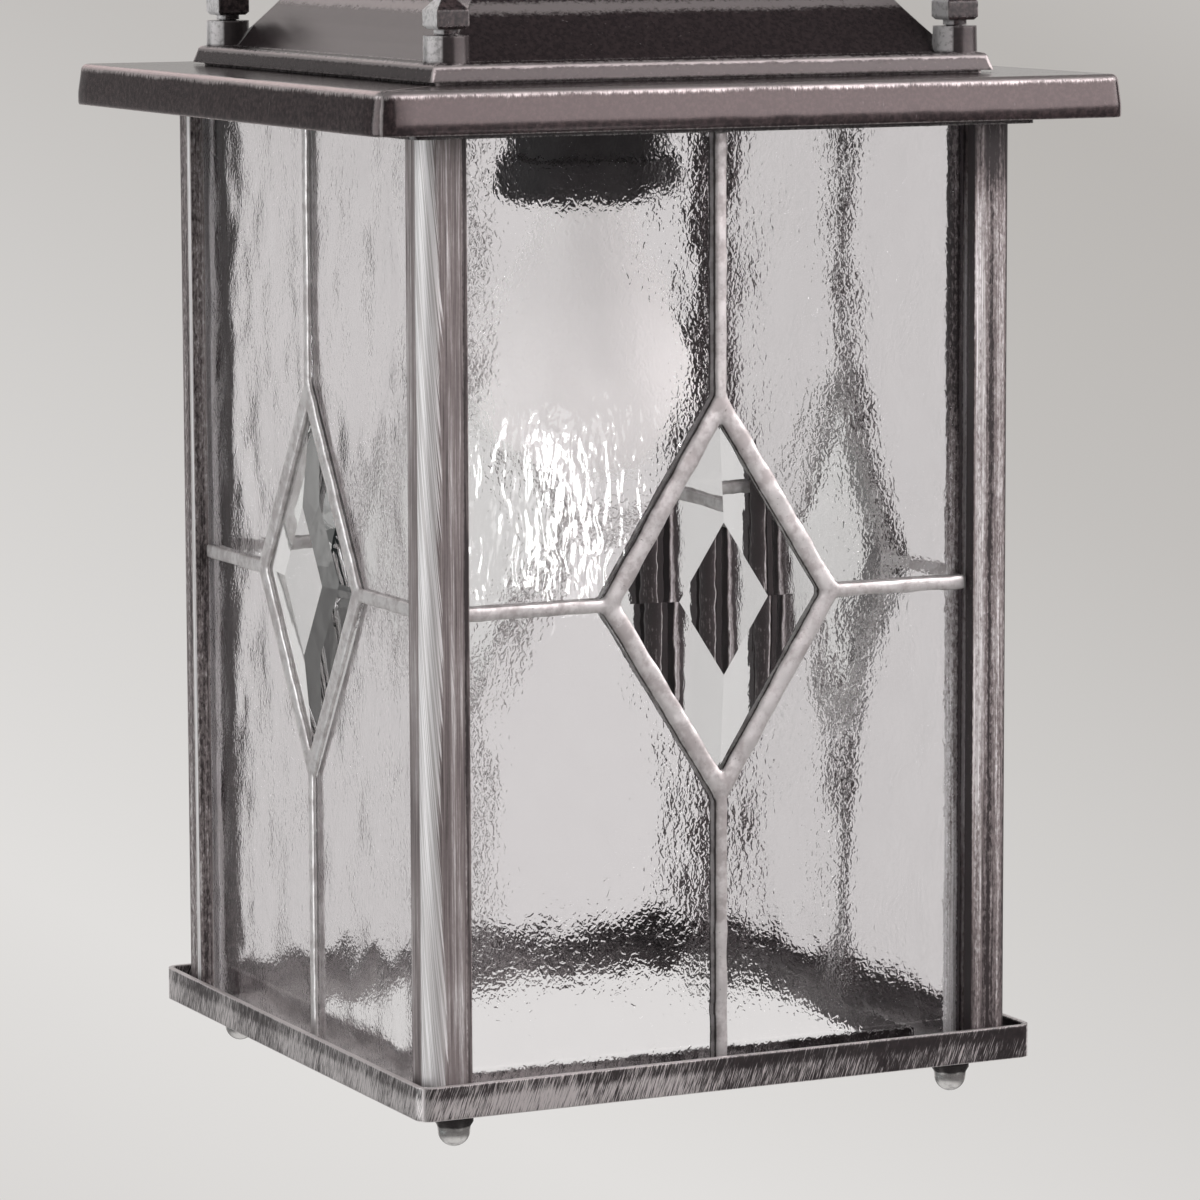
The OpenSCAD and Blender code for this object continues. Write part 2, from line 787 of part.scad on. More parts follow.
// A corner post: an L of two faces, each with a groove that holds the edge of a pane
module post(i) {
    s = CORNER_SIGNS[i];
    color("#57514c")
        translate([s[0] * post_at, s[1] * post_at, floor_z])
            mirror([s[0] > 0 ? 1 : 0, 0, 0])
                mirror([0, s[1] > 0 ? 1 : 0, 0])
                    linear_extrude(cage_h)
                        difference() {
                            union() {
                                translate([post_corner, post_corner])
                                    circle(post_corner);
                                translate([post_corner, 0])
                                    square([post_face - post_corner, post_in]);
                                translate([0, post_corner])
                                    square([post_in, post_face - post_corner]);
                                translate([post_corner, post_corner])
                                    square([post_in - post_corner + 1, post_in - post_corner + 1]);
                            }
                            translate([post_in, post_in])
                                square(post_face);
                            translate([post_at - groove_half, post_wall])
                                square([post_face, groove_t]);
                            translate([post_wall, post_at - groove_half])
                                square([groove_t, post_face]);
                        }
}

// Turns the children from the front of the cage to the given side
module on_side(i) {
    rotate([0, 0, 90 * i])
        translate([0, -glass_mid, diamond_z])
            rotate([90, 0, 0])
                children();
}

// Half of the lead's cross-section: a domed leaf on each side of the web
function lead_half(w) =
    let (g = glass_t / 2 + lead_play / 2)
    concat(
        [[lead_web / 2, 0], [lead_web / 2, g]],
        [for (a = [0 : 18 : 90]) [w / 2 * cos(a), g + lead_rise * sin(a)]]);

// A straight bar of lead between two points of the pane
module lead_bar(a, b, w) {
    half = lead_half(w);
    n = len(half);
    quarter = [for (i = [1 : n - 2]) half[i]];
    mirrored = [for (i = [n - 3 : -1 : 0]) [-quarter[i][0], quarter[i][1]]];
    top = concat(quarter, [[0, half[n - 1][1]]], mirrored);
    ring = concat(top, [for (i = [len(top) - 1 : -1 : 0]) [top[i][0], -top[i][1]]]);
    d = b - a;
    translate([a[0], a[1], 0])
        rotate([0, 0, atan2(d[1], d[0])])
            rotate([90, 0, 90])
                linear_extrude(norm(d))
                    polygon(ring);
}

module lead(i) {
    corners = [[diamond_w / 2, 0], [0, diamond_h / 2], [-diamond_w / 2, 0], [0, -diamond_h / 2]];
    side = flange_at - lead_end_gap;
    ends = [[side, 0], [0, pane_high - diamond_z], [-side, 0], [0, pane_low - diamond_z]];
    joint_t = glass_t + lead_play + 2 * lead_rise;
    color("#c9c6c4")
        on_side(i) {
            for (k = [0 : 3]) {
                lead_bar(corners[k], corners[(k + 1) % 4], lead_diamond_w);
                lead_bar(corners[k], ends[k], lead_arm_w);
                translate([corners[k][0], corners[k][1], -joint_t / 2 - 0.1])
                    cylinder(d = lead_diamond_w, h = joint_t + 0.2, $fn = 32);
            }
        }
}

// Water glass in one quarter of a pane, cut back where the lead diamond is
function quad_points(s) =
    let (e = glass_back_off,
         k = edge_k + e,
         u1 = (k - edge_n[1] * e) / edge_n[0],
         z1 = (k - edge_n[0] * e) / edge_n[1],
         r = lead_diamond_w / 2 + lead_play,
         far = s[1] > 0 ? pane_high - diamond_z : diamond_z - pane_low)
    [for (p = [[e, far], [e, max(z1, diamond_h / 2 + r)], [e + r * 0.7, max(z1, diamond_h / 2 + r) - r * 0.3],
               [diamond_w / 2 + r * 0.6, r * 0.85], [diamond_w / 2 + r, e], [pane_half, e], [pane_half, far]])
        [s[0] * p[0], s[1] * p[1]]];

module water_glass(i, q) {
    color([0.85, 0.87, 0.87, 0.5])
        on_side(i)
            linear_extrude(glass_t, center = true)
                polygon(quad_points(QUAD_SIGNS[q]));
}

module diamond(w, h, t) {
    linear_extrude(t)
        polygon([[w / 2, 0], [0, h / 2], [-w / 2, 0], [0, -h / 2]]);
}

// Bevelled glass: four long facets rise from the lead to a flat facet in the middle
module bevel(i) {
    k = edge_k - glass_back_off;
    inset = edge_k - lead_diamond_w / 2 - 2 * lead_play;
    w = 2 * k / edge_n[0];
    h = 2 * k / edge_n[1];
    joint_w = lead_diamond_w + 4 * lead_play;
    w2 = 2 * inset / edge_n[0];
    h2 = 2 * inset / edge_n[1];
    color([0.8, 0.88, 0.86, 0.5])
        on_side(i)
            translate([0, 0, -glass_t / 2]) {
                intersection() {
                    diamond(w, h, glass_t);
                    cube([diamond_w - joint_w, diamond_h - joint_w, 3 * glass_t], center = true);
                }
                hull() {
                    diamond(w2, h2, glass_t);
                    diamond(facet_w, facet_h, glass_t + facet_rise);
                }
            }
}

ceiling_rose();
ceiling_eye();
eye_nut();
rose_grommet();
terminal_block();
chain_link(0, 90);  // link_upper
chain_link(1, 0);  // link_middle
chain_link(2, 90);  // link_lower
hanging_loop();
loop_grommet();
top_cap();
roof_crown();
threaded_tube();
tube_nuts();
lampholder_cap();
lampholder_body();
screw_shell();
lampholder_ring();
bulb_glass();
bulb_screw_cap();
for (i = [0 : 3])
    finial(i);
eave_tray();
top_frame();
base_tray();
tie_rods();
acorn_nuts();
base_washers();
for (i = [0 : 3])
    post(i);
for (i = [0 : 3])
    lead(i);
for (i = [0 : 3])
    bevel(i);
for (i = [0 : 3])
    for (q = [0 : 3])
        water_glass(i, q);
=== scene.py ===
import math

import bmesh
import bpy
from mathutils import Matrix, Vector, noise


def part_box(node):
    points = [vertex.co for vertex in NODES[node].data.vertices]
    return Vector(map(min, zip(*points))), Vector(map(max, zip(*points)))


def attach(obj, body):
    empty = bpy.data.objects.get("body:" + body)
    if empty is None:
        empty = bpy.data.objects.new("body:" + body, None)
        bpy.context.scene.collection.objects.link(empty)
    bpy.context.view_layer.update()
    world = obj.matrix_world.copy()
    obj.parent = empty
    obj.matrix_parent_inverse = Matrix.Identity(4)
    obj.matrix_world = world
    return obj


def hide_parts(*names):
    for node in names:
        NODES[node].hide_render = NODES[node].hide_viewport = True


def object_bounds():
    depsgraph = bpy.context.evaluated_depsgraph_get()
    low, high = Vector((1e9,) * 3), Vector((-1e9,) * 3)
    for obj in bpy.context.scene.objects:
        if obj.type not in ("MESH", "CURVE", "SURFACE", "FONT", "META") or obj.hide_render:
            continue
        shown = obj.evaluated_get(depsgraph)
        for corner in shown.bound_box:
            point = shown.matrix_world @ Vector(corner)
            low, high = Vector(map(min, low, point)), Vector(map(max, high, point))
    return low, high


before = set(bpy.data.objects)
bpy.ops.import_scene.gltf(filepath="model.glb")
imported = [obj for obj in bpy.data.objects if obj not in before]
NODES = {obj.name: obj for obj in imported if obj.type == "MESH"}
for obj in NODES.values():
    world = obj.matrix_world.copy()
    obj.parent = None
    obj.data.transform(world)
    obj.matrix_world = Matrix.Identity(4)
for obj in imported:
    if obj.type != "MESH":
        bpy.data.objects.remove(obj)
cad_low, cad_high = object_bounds()

MM = 0.001
CORNERS = ("front_left", "front_right", "back_right", "back_left")
SIDES = ("front", "right", "back", "left")
PANES = ("upper_left", "upper_right", "lower_right", "lower_left")


# Places that come from the CAD's pieces, in mm
def box_mm(node):
    low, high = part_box(node)
    return low / MM, high / MM


eave_low, eave_high = box_mm("eave_tray")
base_low, base_high = box_mm("base_tray")
crown_low, crown_high = box_mm("roof_crown")
finial_low, finial_high = box_mm("finial_front_right")
nut_low, nut_high = box_mm("acorn_nuts")
BOSS_OFF = (finial_low.x + finial_high.x) / 2

# Camera: 25.7 degrees to the left of the front face and 7.6 degrees above it, with a long lens
AZIMUTH = math.radians(-25.682)
ELEVATION = math.radians(7.62)
ROLL = math.radians(-0.211)
FOCAL_PX = 5620.076
FRAME_PX = 1200.0
SENSOR = 36.0
DISTANCE = 1575.0 * MM
AIM_SIDE = 4.072 * MM
AIM_Z = (eave_high.z - 148.396) * MM

BACK = Vector((
    math.sin(AZIMUTH) * math.cos(ELEVATION),
    -math.cos(AZIMUTH) * math.cos(ELEVATION),
    math.sin(ELEVATION),
))
SIDE = Vector((math.cos(AZIMUTH), math.sin(AZIMUTH), 0.0))
UP = BACK.cross(SIDE)
CAM_X = SIDE * math.cos(ROLL) + UP * math.sin(ROLL)
CAM_Y = UP * math.cos(ROLL) - SIDE * math.sin(ROLL)


def make_camera():
    data = bpy.data.cameras.new("camera")
    cam = bpy.data.objects.new("camera", data)
    bpy.context.scene.collection.objects.link(cam)
    data.sensor_width = SENSOR
    data.lens = SENSOR * FOCAL_PX / FRAME_PX
    data.clip_start = 0.05
    data.clip_end = 50.0
    place = SIDE * AIM_SIDE + Vector((0, 0, AIM_Z)) + BACK * DISTANCE
    turn = Matrix((CAM_X, CAM_Y, BACK)).transposed()
    cam.matrix_world = Matrix.Translation(place) @ turn.to_4x4()
    bpy.context.scene.camera = cam


make_camera()


# Node helpers
class Tree:
    """A thin wrapper that adds nodes and links to one node tree."""

    def __init__(self, tree):
        self.t = tree
        tree.nodes.clear()

    def add(self, kind, inputs=None, **props):
        n = self.t.nodes.new(kind)
        for k, v in props.items():
            setattr(n, k, v)
        for k, v in (inputs or {}).items():
            self.set(n, k, v)
        return n

    def set(self, n, key, value):
        sock = n.inputs[key]
        if isinstance(value, bpy.types.NodeSocket):
            self.t.links.new(value, sock)
        elif isinstance(value, bpy.types.Node):
            self.t.links.new(value.outputs[0], sock)
        else:
            sock.default_value = value

    def math(self, op, a, b=0.0):
        return self.add("ShaderNodeMath", {0: a, 1: b}, operation=op).outputs[0]

    def plus(self, a, b):
        return self.math("ADD", a, b)

    def times(self, a, b):
        return self.math("MULTIPLY", a, b)

    def nudge(self, value, field, amount):
        """The value, moved by how far a field of noise is from its middle."""
        return self.plus(value, self.times(self.math("SUBTRACT", field, 0.5), amount))

    def ramp(self, v, low, high, out_low=0.0, out_high=1.0, smooth=True):
        limits = {"Value": v, "From Min": low, "From Max": high, "To Min": out_low, "To Max": out_high}
        kind = "SMOOTHSTEP" if smooth else "LINEAR"
        return self.add("ShaderNodeMapRange", limits, clamp=True, interpolation_type=kind).outputs["Result"]

    def mix(self, fac, a, b):
        return self.add("ShaderNodeMix", {0: fac, 6: a, 7: b}, data_type="RGBA").outputs[2]

    def mixf(self, fac, a, b):
        return self.add("ShaderNodeMix", {0: fac, 2: a, 3: b}, data_type="FLOAT").outputs[0]

    def mm(self):
        """Object coordinates in millimetres."""
        c = self.add("ShaderNodeTexCoord").outputs["Object"]
        return self.add("ShaderNodeVectorMath", {0: c, 3: 1.0 / MM}, operation="SCALE").outputs[0]

    def split(self, vector):
        """The X, Y and Z of a vector."""
        return self.add("ShaderNodeSeparateXYZ", {0: vector}).outputs

    def normal(self):
        return self.add("ShaderNodeNewGeometry").outputs["Normal"]

    def dot(self, a, b):
        return self.add("ShaderNodeVectorMath", {0: a, 1: b}, operation="DOT_PRODUCT").outputs["Value"]

    def noise(self, vec, scale, detail, rough, shift=(0, 0, 0), warp=0.0):
        place = self.add("ShaderNodeMapping", {"Vector": vec, "Scale": scale, "Location": shift})
        kind = {"Scale": 1.0, "Detail": detail, "Roughness": rough, "Distortion": warp}
        return self.add("ShaderNodeTexNoise", {"Vector": place, **kind}).outputs["Fac"]

    def rounded(self, radius_mm):
        """The normal of a piece with its edges rounded off."""
        return self.add("ShaderNodeBevel", {"Radius": radius_mm * MM}, samples=4).outputs[0]

    def bump(self, height, distance_mm, normal=None):
        n = self.add("ShaderNodeBump", {"Height": height, "Distance": distance_mm * MM, "Strength": 1.0})
        if normal is not None:
            self.set(n, "Normal", normal)
        return n.outputs[0]

    def principled(self, out, inputs):
        """A surface of the given inputs, on the material's output."""
        self.set(out, "Surface", self.add("ShaderNodeBsdfPrincipled", inputs).outputs[0])


def new_material(name):
    m = bpy.data.materials.new(name)
    m.use_nodes = True
    t = Tree(m.node_tree)
    return m, t, t.add("ShaderNodeOutputMaterial")


def grey(r, g=None, b=None):
    return (r, r if g is None else g, r if b is None else b, 1.0)


def even(scale):
    """One scale for all three axes."""
    return (scale, scale, scale)


# Paint
BLACK = grey(0.021, 0.0165, 0.018)
SILVER = grey(0.66, 0.615, 0.615)
WORN = grey(0.27, 0.195, 0.195)
# The pale of the painted light on the faces that look towards -X.
PAINTED_WEST_LIGHT_COLOUR = grey(0.74, 0.725, 0.73)


def leaning(t, xyz, slant):
    """Coordinates for strokes that lean along each upright face: the first runs round the piece."""
    x, y, z = xyz
    round_it = t.plus(t.math("SUBTRACT", x, y), t.times(z, slant))
    return t.add("ShaderNodeCombineXYZ", {0: round_it, 1: t.plus(x, y), 2: z})


def from_plane(t, xyz, axis, at):
    """How far the surface is from the plane at that place on an axis, in mm."""
    return t.math("ABSOLUTE", t.math("SUBTRACT", xyz["XYZ".index(axis)], at))


def half_widths(t, xyz):
    return [t.math("ABSOLUTE", xyz[k]) for k in (0, 1)]


def band_mask(t, xyz, mix, band, rim_at):
    """Silver that fades raggedly with the distance from a plane, and only outside rim_at if that is given."""
    axis, at, reach, amount = band
    ragged = t.nudge(from_plane(t, xyz, axis, at), mix, -2.4 * reach)
    mask = t.times(t.ramp(ragged, reach, reach * 0.2), amount)
    if rim_at:
        wide = t.nudge(t.math("MAXIMUM", *half_widths(t, xyz)), mix, 2.0)
        mask = t.times(mask, t.ramp(wide, rim_at - 0.4, rim_at + 0.4))
    return mask


def boss_mask(t, xyz, off, reach, above):
    """1 in a square round each of the four corner bosses, above a height."""
    far = [t.math("ABSOLUTE", t.math("SUBTRACT", size, off)) for size in half_widths(t, xyz)]
    near = t.ramp(t.math("MAXIMUM", *far), reach, reach * 0.85)
    return t.times(near, t.ramp(xyz[2], above, above + 1.0))


def arris_mask(t, xyz, mix, reach, top, amount):
    """Silver down the upright corners, below a height: on the eave it is a painted highlight."""
    away = t.nudge(t.math("ABSOLUTE", t.math("SUBTRACT", *half_widths(t, xyz))), mix, -2.0 * reach)
    return t.times(t.times(t.ramp(away, reach, reach * 0.3), t.ramp(xyz[2], top + 0.8, top)), amount)


def dry_brushed(name, cover, stroke, gloss=0.2, haze=0.10, relief=1.0, slant=0.0, grain=4.0, sharp=1.0,
                bands=(), rim_at=None, lift=(), spot=None, arris_silver_and_highlight=None, painted_west_light=0.0, underside_shade=0.0,
                metal=0.85, tint=1.0, silver=SILVER, seed=0.0):
    """Black paint with silver dragged over it: strokes, worn edges, and given bands.
    cover: how much silver there is. stroke: the scale of the strokes along X, Y and Z. slant: how they lean.
    grain: how fine they are broken up. sharp: how soft their edges are.
    bands: (axis, at_mm, reach_mm, amount): silver fading with the distance from a plane.
    rim_at: the bands keep outside this half width, in mm.
    lift: (axis, at_mm, reach_mm, amount): more or less silver near a plane.
    spot: (off_mm, reach_mm, above_mm, amount): an even coat of silver round the four corners, over a height.
    arris_silver_and_highlight: (reach_mm, up_to_mm, amount): silver down the upright corners, on the eave a
    painted highlight.
    painted_west_light: painted light, an even pale coat on the faces that look towards -X, as if lit from the
    left, and with spot only there.
    underside_shade: painted shade, how much less silver and gloss there is on the flats that look down.
    tint: how warm the gloss is. metal: how much of a metal the silver is."""
    m, t, out = new_material(name)
    p = t.mm()
    xyz = t.split(p)
    drag = leaning(t, xyz, slant) if slant else p
    strokes = t.noise(drag, stroke, grain, 0.7 if grain > 3.0 else 0.5, (seed, seed * 0.7, seed * 1.3))
    fine = t.noise(drag, tuple(2.6 * s for s in stroke), 2.0, 0.6, (seed * 2, 3.1, 1.7))
    patch = t.noise(p, even(0.05), 2.0, 0.5, (seed * 3, 0, 5.0))
    dots = t.noise(p, even(0.8), 3.0, 0.6, (0, seed, 0))
    mix = t.nudge(t.plus(t.times(strokes, 0.65), t.times(fine, 0.35)), patch, 0.30)
    for axis, at, reach, amount in lift:
        mix = t.plus(mix, t.times(t.ramp(from_plane(t, xyz, axis, at), reach, reach * 0.3), amount))
    middle = 0.75 - cover * 0.5
    body = t.ramp(mix, middle - 0.09 * sharp, middle + 0.09 * sharp)
    soft = t.rounded(0.9)
    rim = t.ramp(t.dot(soft, t.normal()), 0.995, 0.80)
    rim_break = t.ramp(t.plus(mix, t.times(dots, 0.30)), 0.50, 0.80)
    mask = t.math("MAXIMUM", t.times(body, 0.75), t.times(t.times(rim, rim_break), 0.85))
    for band in bands:
        mask = t.math("MAXIMUM", mask, band_mask(t, xyz, mix, band, rim_at))
    if spot:
        off, reach, above, amount = spot
        near = boss_mask(t, xyz, off, reach, above)
        coat = t.times(near, t.ramp(patch, 0.30, 0.60, 0.65, 1.0))
        mask = t.math("MAXIMUM", mask, t.times(coat, amount))
    if arris_silver_and_highlight:
        mask = t.math("MAXIMUM", mask, arris_mask(t, xyz, mix, *arris_silver_and_highlight))
    facing = t.split(t.normal())
    # Painted shade: the flats that look down lose silver and most of their gloss.
    if underside_shade:
        level = t.ramp(t.times(facing[2], -1.0), 0.6, 0.9, 0.0, underside_shade)
        mask = t.times(mask, t.math("SUBTRACT", 1.0, level))
    colour = t.mix(mask, BLACK, silver)
    colour = t.mix(t.times(t.ramp(dots, 0.35, 0.75), haze), colour, WORN)
    rough = t.nudge(t.mixf(mask, gloss, 0.40), dots, 0.08)
    shine = t.times(mask, metal)
    # Painted light: the faces that look towards -X get a pale coat, as if lit from the left.
    if painted_west_light:
        speck = t.ramp(t.nudge(dots, mix, 0.6), 0.30, 0.56, 0.55, 1.0)
        pale = t.times(t.times(t.ramp(t.times(facing[0], -1.0), 0.50, 0.62), speck), painted_west_light)
        if spot:
            pale = t.times(pale, near)
        colour = t.mix(pale, colour, PAINTED_WEST_LIGHT_COLOUR)
        rough = t.mixf(pale, rough, 0.42)
        shine = t.times(shine, t.math("SUBTRACT", 1.0, pale))
    skin = t.noise(p, even(0.10), 2.0, 0.5, (2.0, seed, 0))
    peel = t.noise(p, even(0.9), 1.0, 0.5, (6.0, seed, 0))
    height = t.plus(t.plus(t.times(skin, 1.2), t.times(peel, 0.06)), t.times(strokes, 0.10))
    t.principled(out, {
        "Base Color": colour,
        "Metallic": shine,
        "Roughness": rough,
        "Normal": t.bump(height, 0.06 * relief, soft),
        "IOR": 1.56,
        "Specular Tint": grey(1.0, tint, tint),
        "Specular IOR Level": t.mixf(level, 0.5, 0.06) if underside_shade else 0.5,
    })
    return m


# Where the front left post rounds off to its corner: from and to, in mm
POST_CORNER_X = (83.0, 84.6)
POST_CORNER_Y = (81.0, 81.8)


def post_paint(name, cover, seed, mottle, bands, cap=0.0, patch=0.30, slant=0.0):
    """Silver drawn down the post in dry strokes, broken up by mottle and patch.
    bands: (axis, at_mm, reach_mm, amount): more or less silver near a plane.
    cap: more over the rounded corner. slant: how the finest strokes lean."""
    m, t, out = new_material(name)
    p = t.mm()
    xyz = t.split(p)
    broad = t.noise(p, (0.6, 0.6, 0.010), 2.0, 0.5, (seed, seed * 0.6, 0))
    thin = t.noise(p, (2.1, 2.1, 0.035), 2.0, 0.6, (seed * 2.0, 5, 0))
    if slant:
        hair = t.noise(leaning(t, xyz, slant), (2.6, 0.12, 0.020), 2.0, 0.6, (seed * 3.0, 1, 0))
    else:
        hair = t.noise(p, (2.6, 2.6, 0.020), 2.0, 0.6, (seed * 3.0, 1, 0))
    specks = t.noise(p, (1.5, 1.5, 0.55), 3.0, 0.65, (seed, 0, 3), warp=0.4)
    drift = t.noise(p, (0.07, 0.07, 0.020), 2.0, 0.5, (seed, 7, 3))
    mix = t.nudge(t.plus(t.times(broad, 0.45), t.times(thin, 0.55)), specks, mottle)
    mix = t.nudge(mix, drift, patch)
    if cap:
        sway = t.noise(p, (0.02, 0.02, 0.018), 1.0, 0.4, (seed, 2, 0))
        wide, deep = half_widths(t, xyz)
        ragged = t.nudge(t.nudge(wide, hair, 4.0), sway, 5.0)
        corner = t.times(t.ramp(ragged, *POST_CORNER_X), t.ramp(deep, *POST_CORNER_Y))
        mix = t.nudge(t.plus(mix, t.times(corner, cap)), hair, t.times(corner, 0.35))
    for axis, at, reach, amount in bands:
        away = t.nudge(from_plane(t, xyz, axis, at), specks, min(reach, 3.0) * 0.9)
        mix = t.plus(mix, t.times(t.ramp(away, reach, reach * 0.3), amount))
    mask = t.ramp(mix, 0.52 - cover * 0.5, 1.00 - cover * 0.5, smooth=False)
    tone = t.mix(t.ramp(hair, 0.40, 0.60), grey(0.58, 0.56, 0.56), grey(0.88, 0.87, 0.88))
    thin_coat = t.ramp(mask, 0.0, 0.50, smooth=False)
    thick_coat = t.ramp(mask, 0.50, 0.95, smooth=False)
    colour = t.mix(thin_coat, grey(0.034, 0.025, 0.027), grey(0.27, 0.235, 0.235))
    height = t.plus(t.plus(t.times(thin, 0.6), t.times(hair, 0.4)), t.times(mask, 0.25))
    t.principled(out, {
        "Base Color": t.mix(thick_coat, colour, tone),
        "Metallic": t.times(mask, 0.35),
        "Roughness": t.mixf(mask, 0.42, 0.56),
        "Normal": t.bump(height, 0.035, t.rounded(0.35)),
        "IOR": 1.45,
    })
    return m


# Bare metal, plastic, glass and lead
def metal(name, colour, rough, wear, grain=0.8, bump=0.03, thread=None, dark_over=None, shine=1.0):
    """Bare metal, duller in spots. thread: a thread's pitch in mm. dark_over: dark above this height."""
    m, t, out = new_material(name)
    p = t.mm()
    z = t.split(p)[2]
    scratches = t.noise(p, even(grain), 4.0, 0.6)
    spots = t.noise(p, even(0.35), 3.0, 0.6, (4, 2, 7))
    dull = tuple(c * 0.55 for c in colour[:3]) + (1.0,)
    tone = t.mix(t.ramp(spots, 0.45, 0.8), colour, dull)
    if dark_over is not None:
        over = t.ramp(t.nudge(z, spots, 1.5), dark_over - 0.3, dark_over + 0.3)
        tone = t.mix(over, tone, grey(0.15, 0.14, 0.14))
    normal = t.bump(scratches, bump)
    if thread:
        ridge = t.math("DIVIDE", t.math("PINGPONG", z, thread / 2), thread / 2)
        normal = t.bump(ridge, thread * 0.35, normal)
    t.principled(out, {
        "Base Color": tone,
        "Metallic": shine,
        "Roughness": t.plus(t.times(t.ramp(scratches, 0.3, 0.75), wear), rough),
        "Normal": normal,
    })
    return m


def plain(name, colour, second, rough, scale=0.4, bump=0.05):
    """Rubber or plastic, mottled between two colours."""
    m, t, out = new_material(name)
    p = t.mm()
    mottle = t.noise(p, even(scale), 4.0, 0.6)
    fine = t.noise(p, even(3.0), 2.0, 0.5, (1, 5, 2))
    t.principled(out, {
        "Base Color": t.mix(t.ramp(mottle, 0.35, 0.7), colour, second),
        "Roughness": t.plus(t.times(fine, 0.14), rough - 0.07),
        "Normal": t.bump(fine, bump),
    })
    return m


def clear_glass(t, out, tint, ior, normal):
    """Clear glass that lets the lamps reach what is behind it."""
    glass = t.add("ShaderNodeBsdfPrincipled", {
        "Base Color": tint, "Roughness": 0.0, "IOR": ior, "Transmission Weight": 1.0, "Normal": normal})
    shadow = t.add("ShaderNodeLightPath").outputs["Is Shadow Ray"]
    clear = t.add("ShaderNodeBsdfTransparent", {"Color": grey(0.93, 0.94, 0.935)})
    t.set(out, "Surface", t.add("ShaderNodeMixShader", {0: shadow, 1: glass, 2: clear}))


def water_glass(name, depth, run_scale):
    """Rolled glass. depth is how deep its fine run is, in mm; the broad dimples are in the mesh."""
    m, t, out = new_material(name)
    p = t.mm()
    run = t.noise(p, run_scale, 1.5, 0.5, warp=0.8)
    peel = t.noise(p, tuple(2.2 * v for v in run_scale), 1.0, 0.4, (9, 1, 4))
    where = t.ramp(t.noise(p, (0.06, 0.06, 0.045), 1.0, 0.4, (3, 8, 1)), 0.35, 0.65, 0.70, 1.05)
    height = t.times(t.plus(run, t.times(peel, 0.35)), where)
    seeds = t.noise(p, even(0.12), 1.0, 0.4, (5, 5, 5))
    tint = t.mix(seeds, grey(0.945, 0.932, 0.943), grey(0.965, 0.955, 0.964))
    clear_glass(t, out, tint, 1.5, t.bump(height, depth))
    return m


def bevel_glass(name):
    """The clear glass of the diamonds."""
    m, t, out = new_material(name)
    drift = t.noise(t.mm(), even(0.2), 1.0, 0.4)
    tint = t.mix(drift, grey(0.965, 0.972, 0.970), grey(0.955, 0.968, 0.965))
    clear_glass(t, out, tint, 1.52, t.bump(drift, 0.01))
    return m


def opal_glass(name):
    """The bulb's white glass, with a faint painted glow that brightens the unlit bulb."""
    m, t, out = new_material(name)
    drift = t.noise(t.mm(), even(0.15), 2.0, 0.5)
    t.principled(out, {
        "Base Color": t.mix(drift, grey(0.78, 0.765, 0.76), grey(0.73, 0.715, 0.71)),
        "Roughness": 0.45,
        "IOR": 1.45,
        "Transmission Weight": 0.10,
        # Painted light: the unlit bulb glows faintly.
        "Emission Color": grey(1.0, 0.98, 0.97),
        "Emission Strength": 0.27,
        "Normal": t.bump(drift, 0.02),
    })
    return m


def solder(name, along):
    """Tinned lead, with painted shade: dark on the walls of the beads that look against the given direction.
    """
    m, t, out = new_material(name)
    p = t.mm()
    mottle = t.noise(p, even(0.22), 4.0, 0.6)
    lumps = t.noise(p, even(0.16), 2.0, 0.5, (3, 1, 2))
    pits = t.noise(p, even(1.1), 3.0, 0.6, (5, 4, 1))
    colour = t.mix(t.ramp(mottle, 0.36, 0.62), grey(0.52, 0.49, 0.49), grey(0.80, 0.78, 0.78))
    colour = t.mix(t.times(t.ramp(pits, 0.66, 0.76), 0.7), colour, grey(0.14, 0.12, 0.12))
    # Painted shade on the bead walls that look against the given direction.
    wall = t.nudge(t.dot(t.normal(), tuple(along)), mottle, 0.5)
    colour = t.mix(t.ramp(wall, -0.45, -0.80), colour, grey(0.05, 0.04, 0.04))
    t.principled(out, {
        "Base Color": colour,
        "Metallic": 0.55,
        "Roughness": t.ramp(mottle, 0.3, 0.7, 0.46, 0.30),
        "Normal": t.bump(t.plus(lumps, t.times(pits, 0.05)), 0.22),
    })
    return m


# Materials by name. The acorn nuts are dark above NUT_DARK_Z. RUN and SKIN are the scales of the rolled glass
NUT_DARK_Z = nut_low.z + 5.6
FRONT_RUN = (0.62, 0.62, 0.48)
FRONT_SKIN = (0.22, 0.22, 0.10)
SIDE_RUN = (0.75, 0.75, 0.60)
SIDE_SKIN = (0.40, 0.40, 0.22)

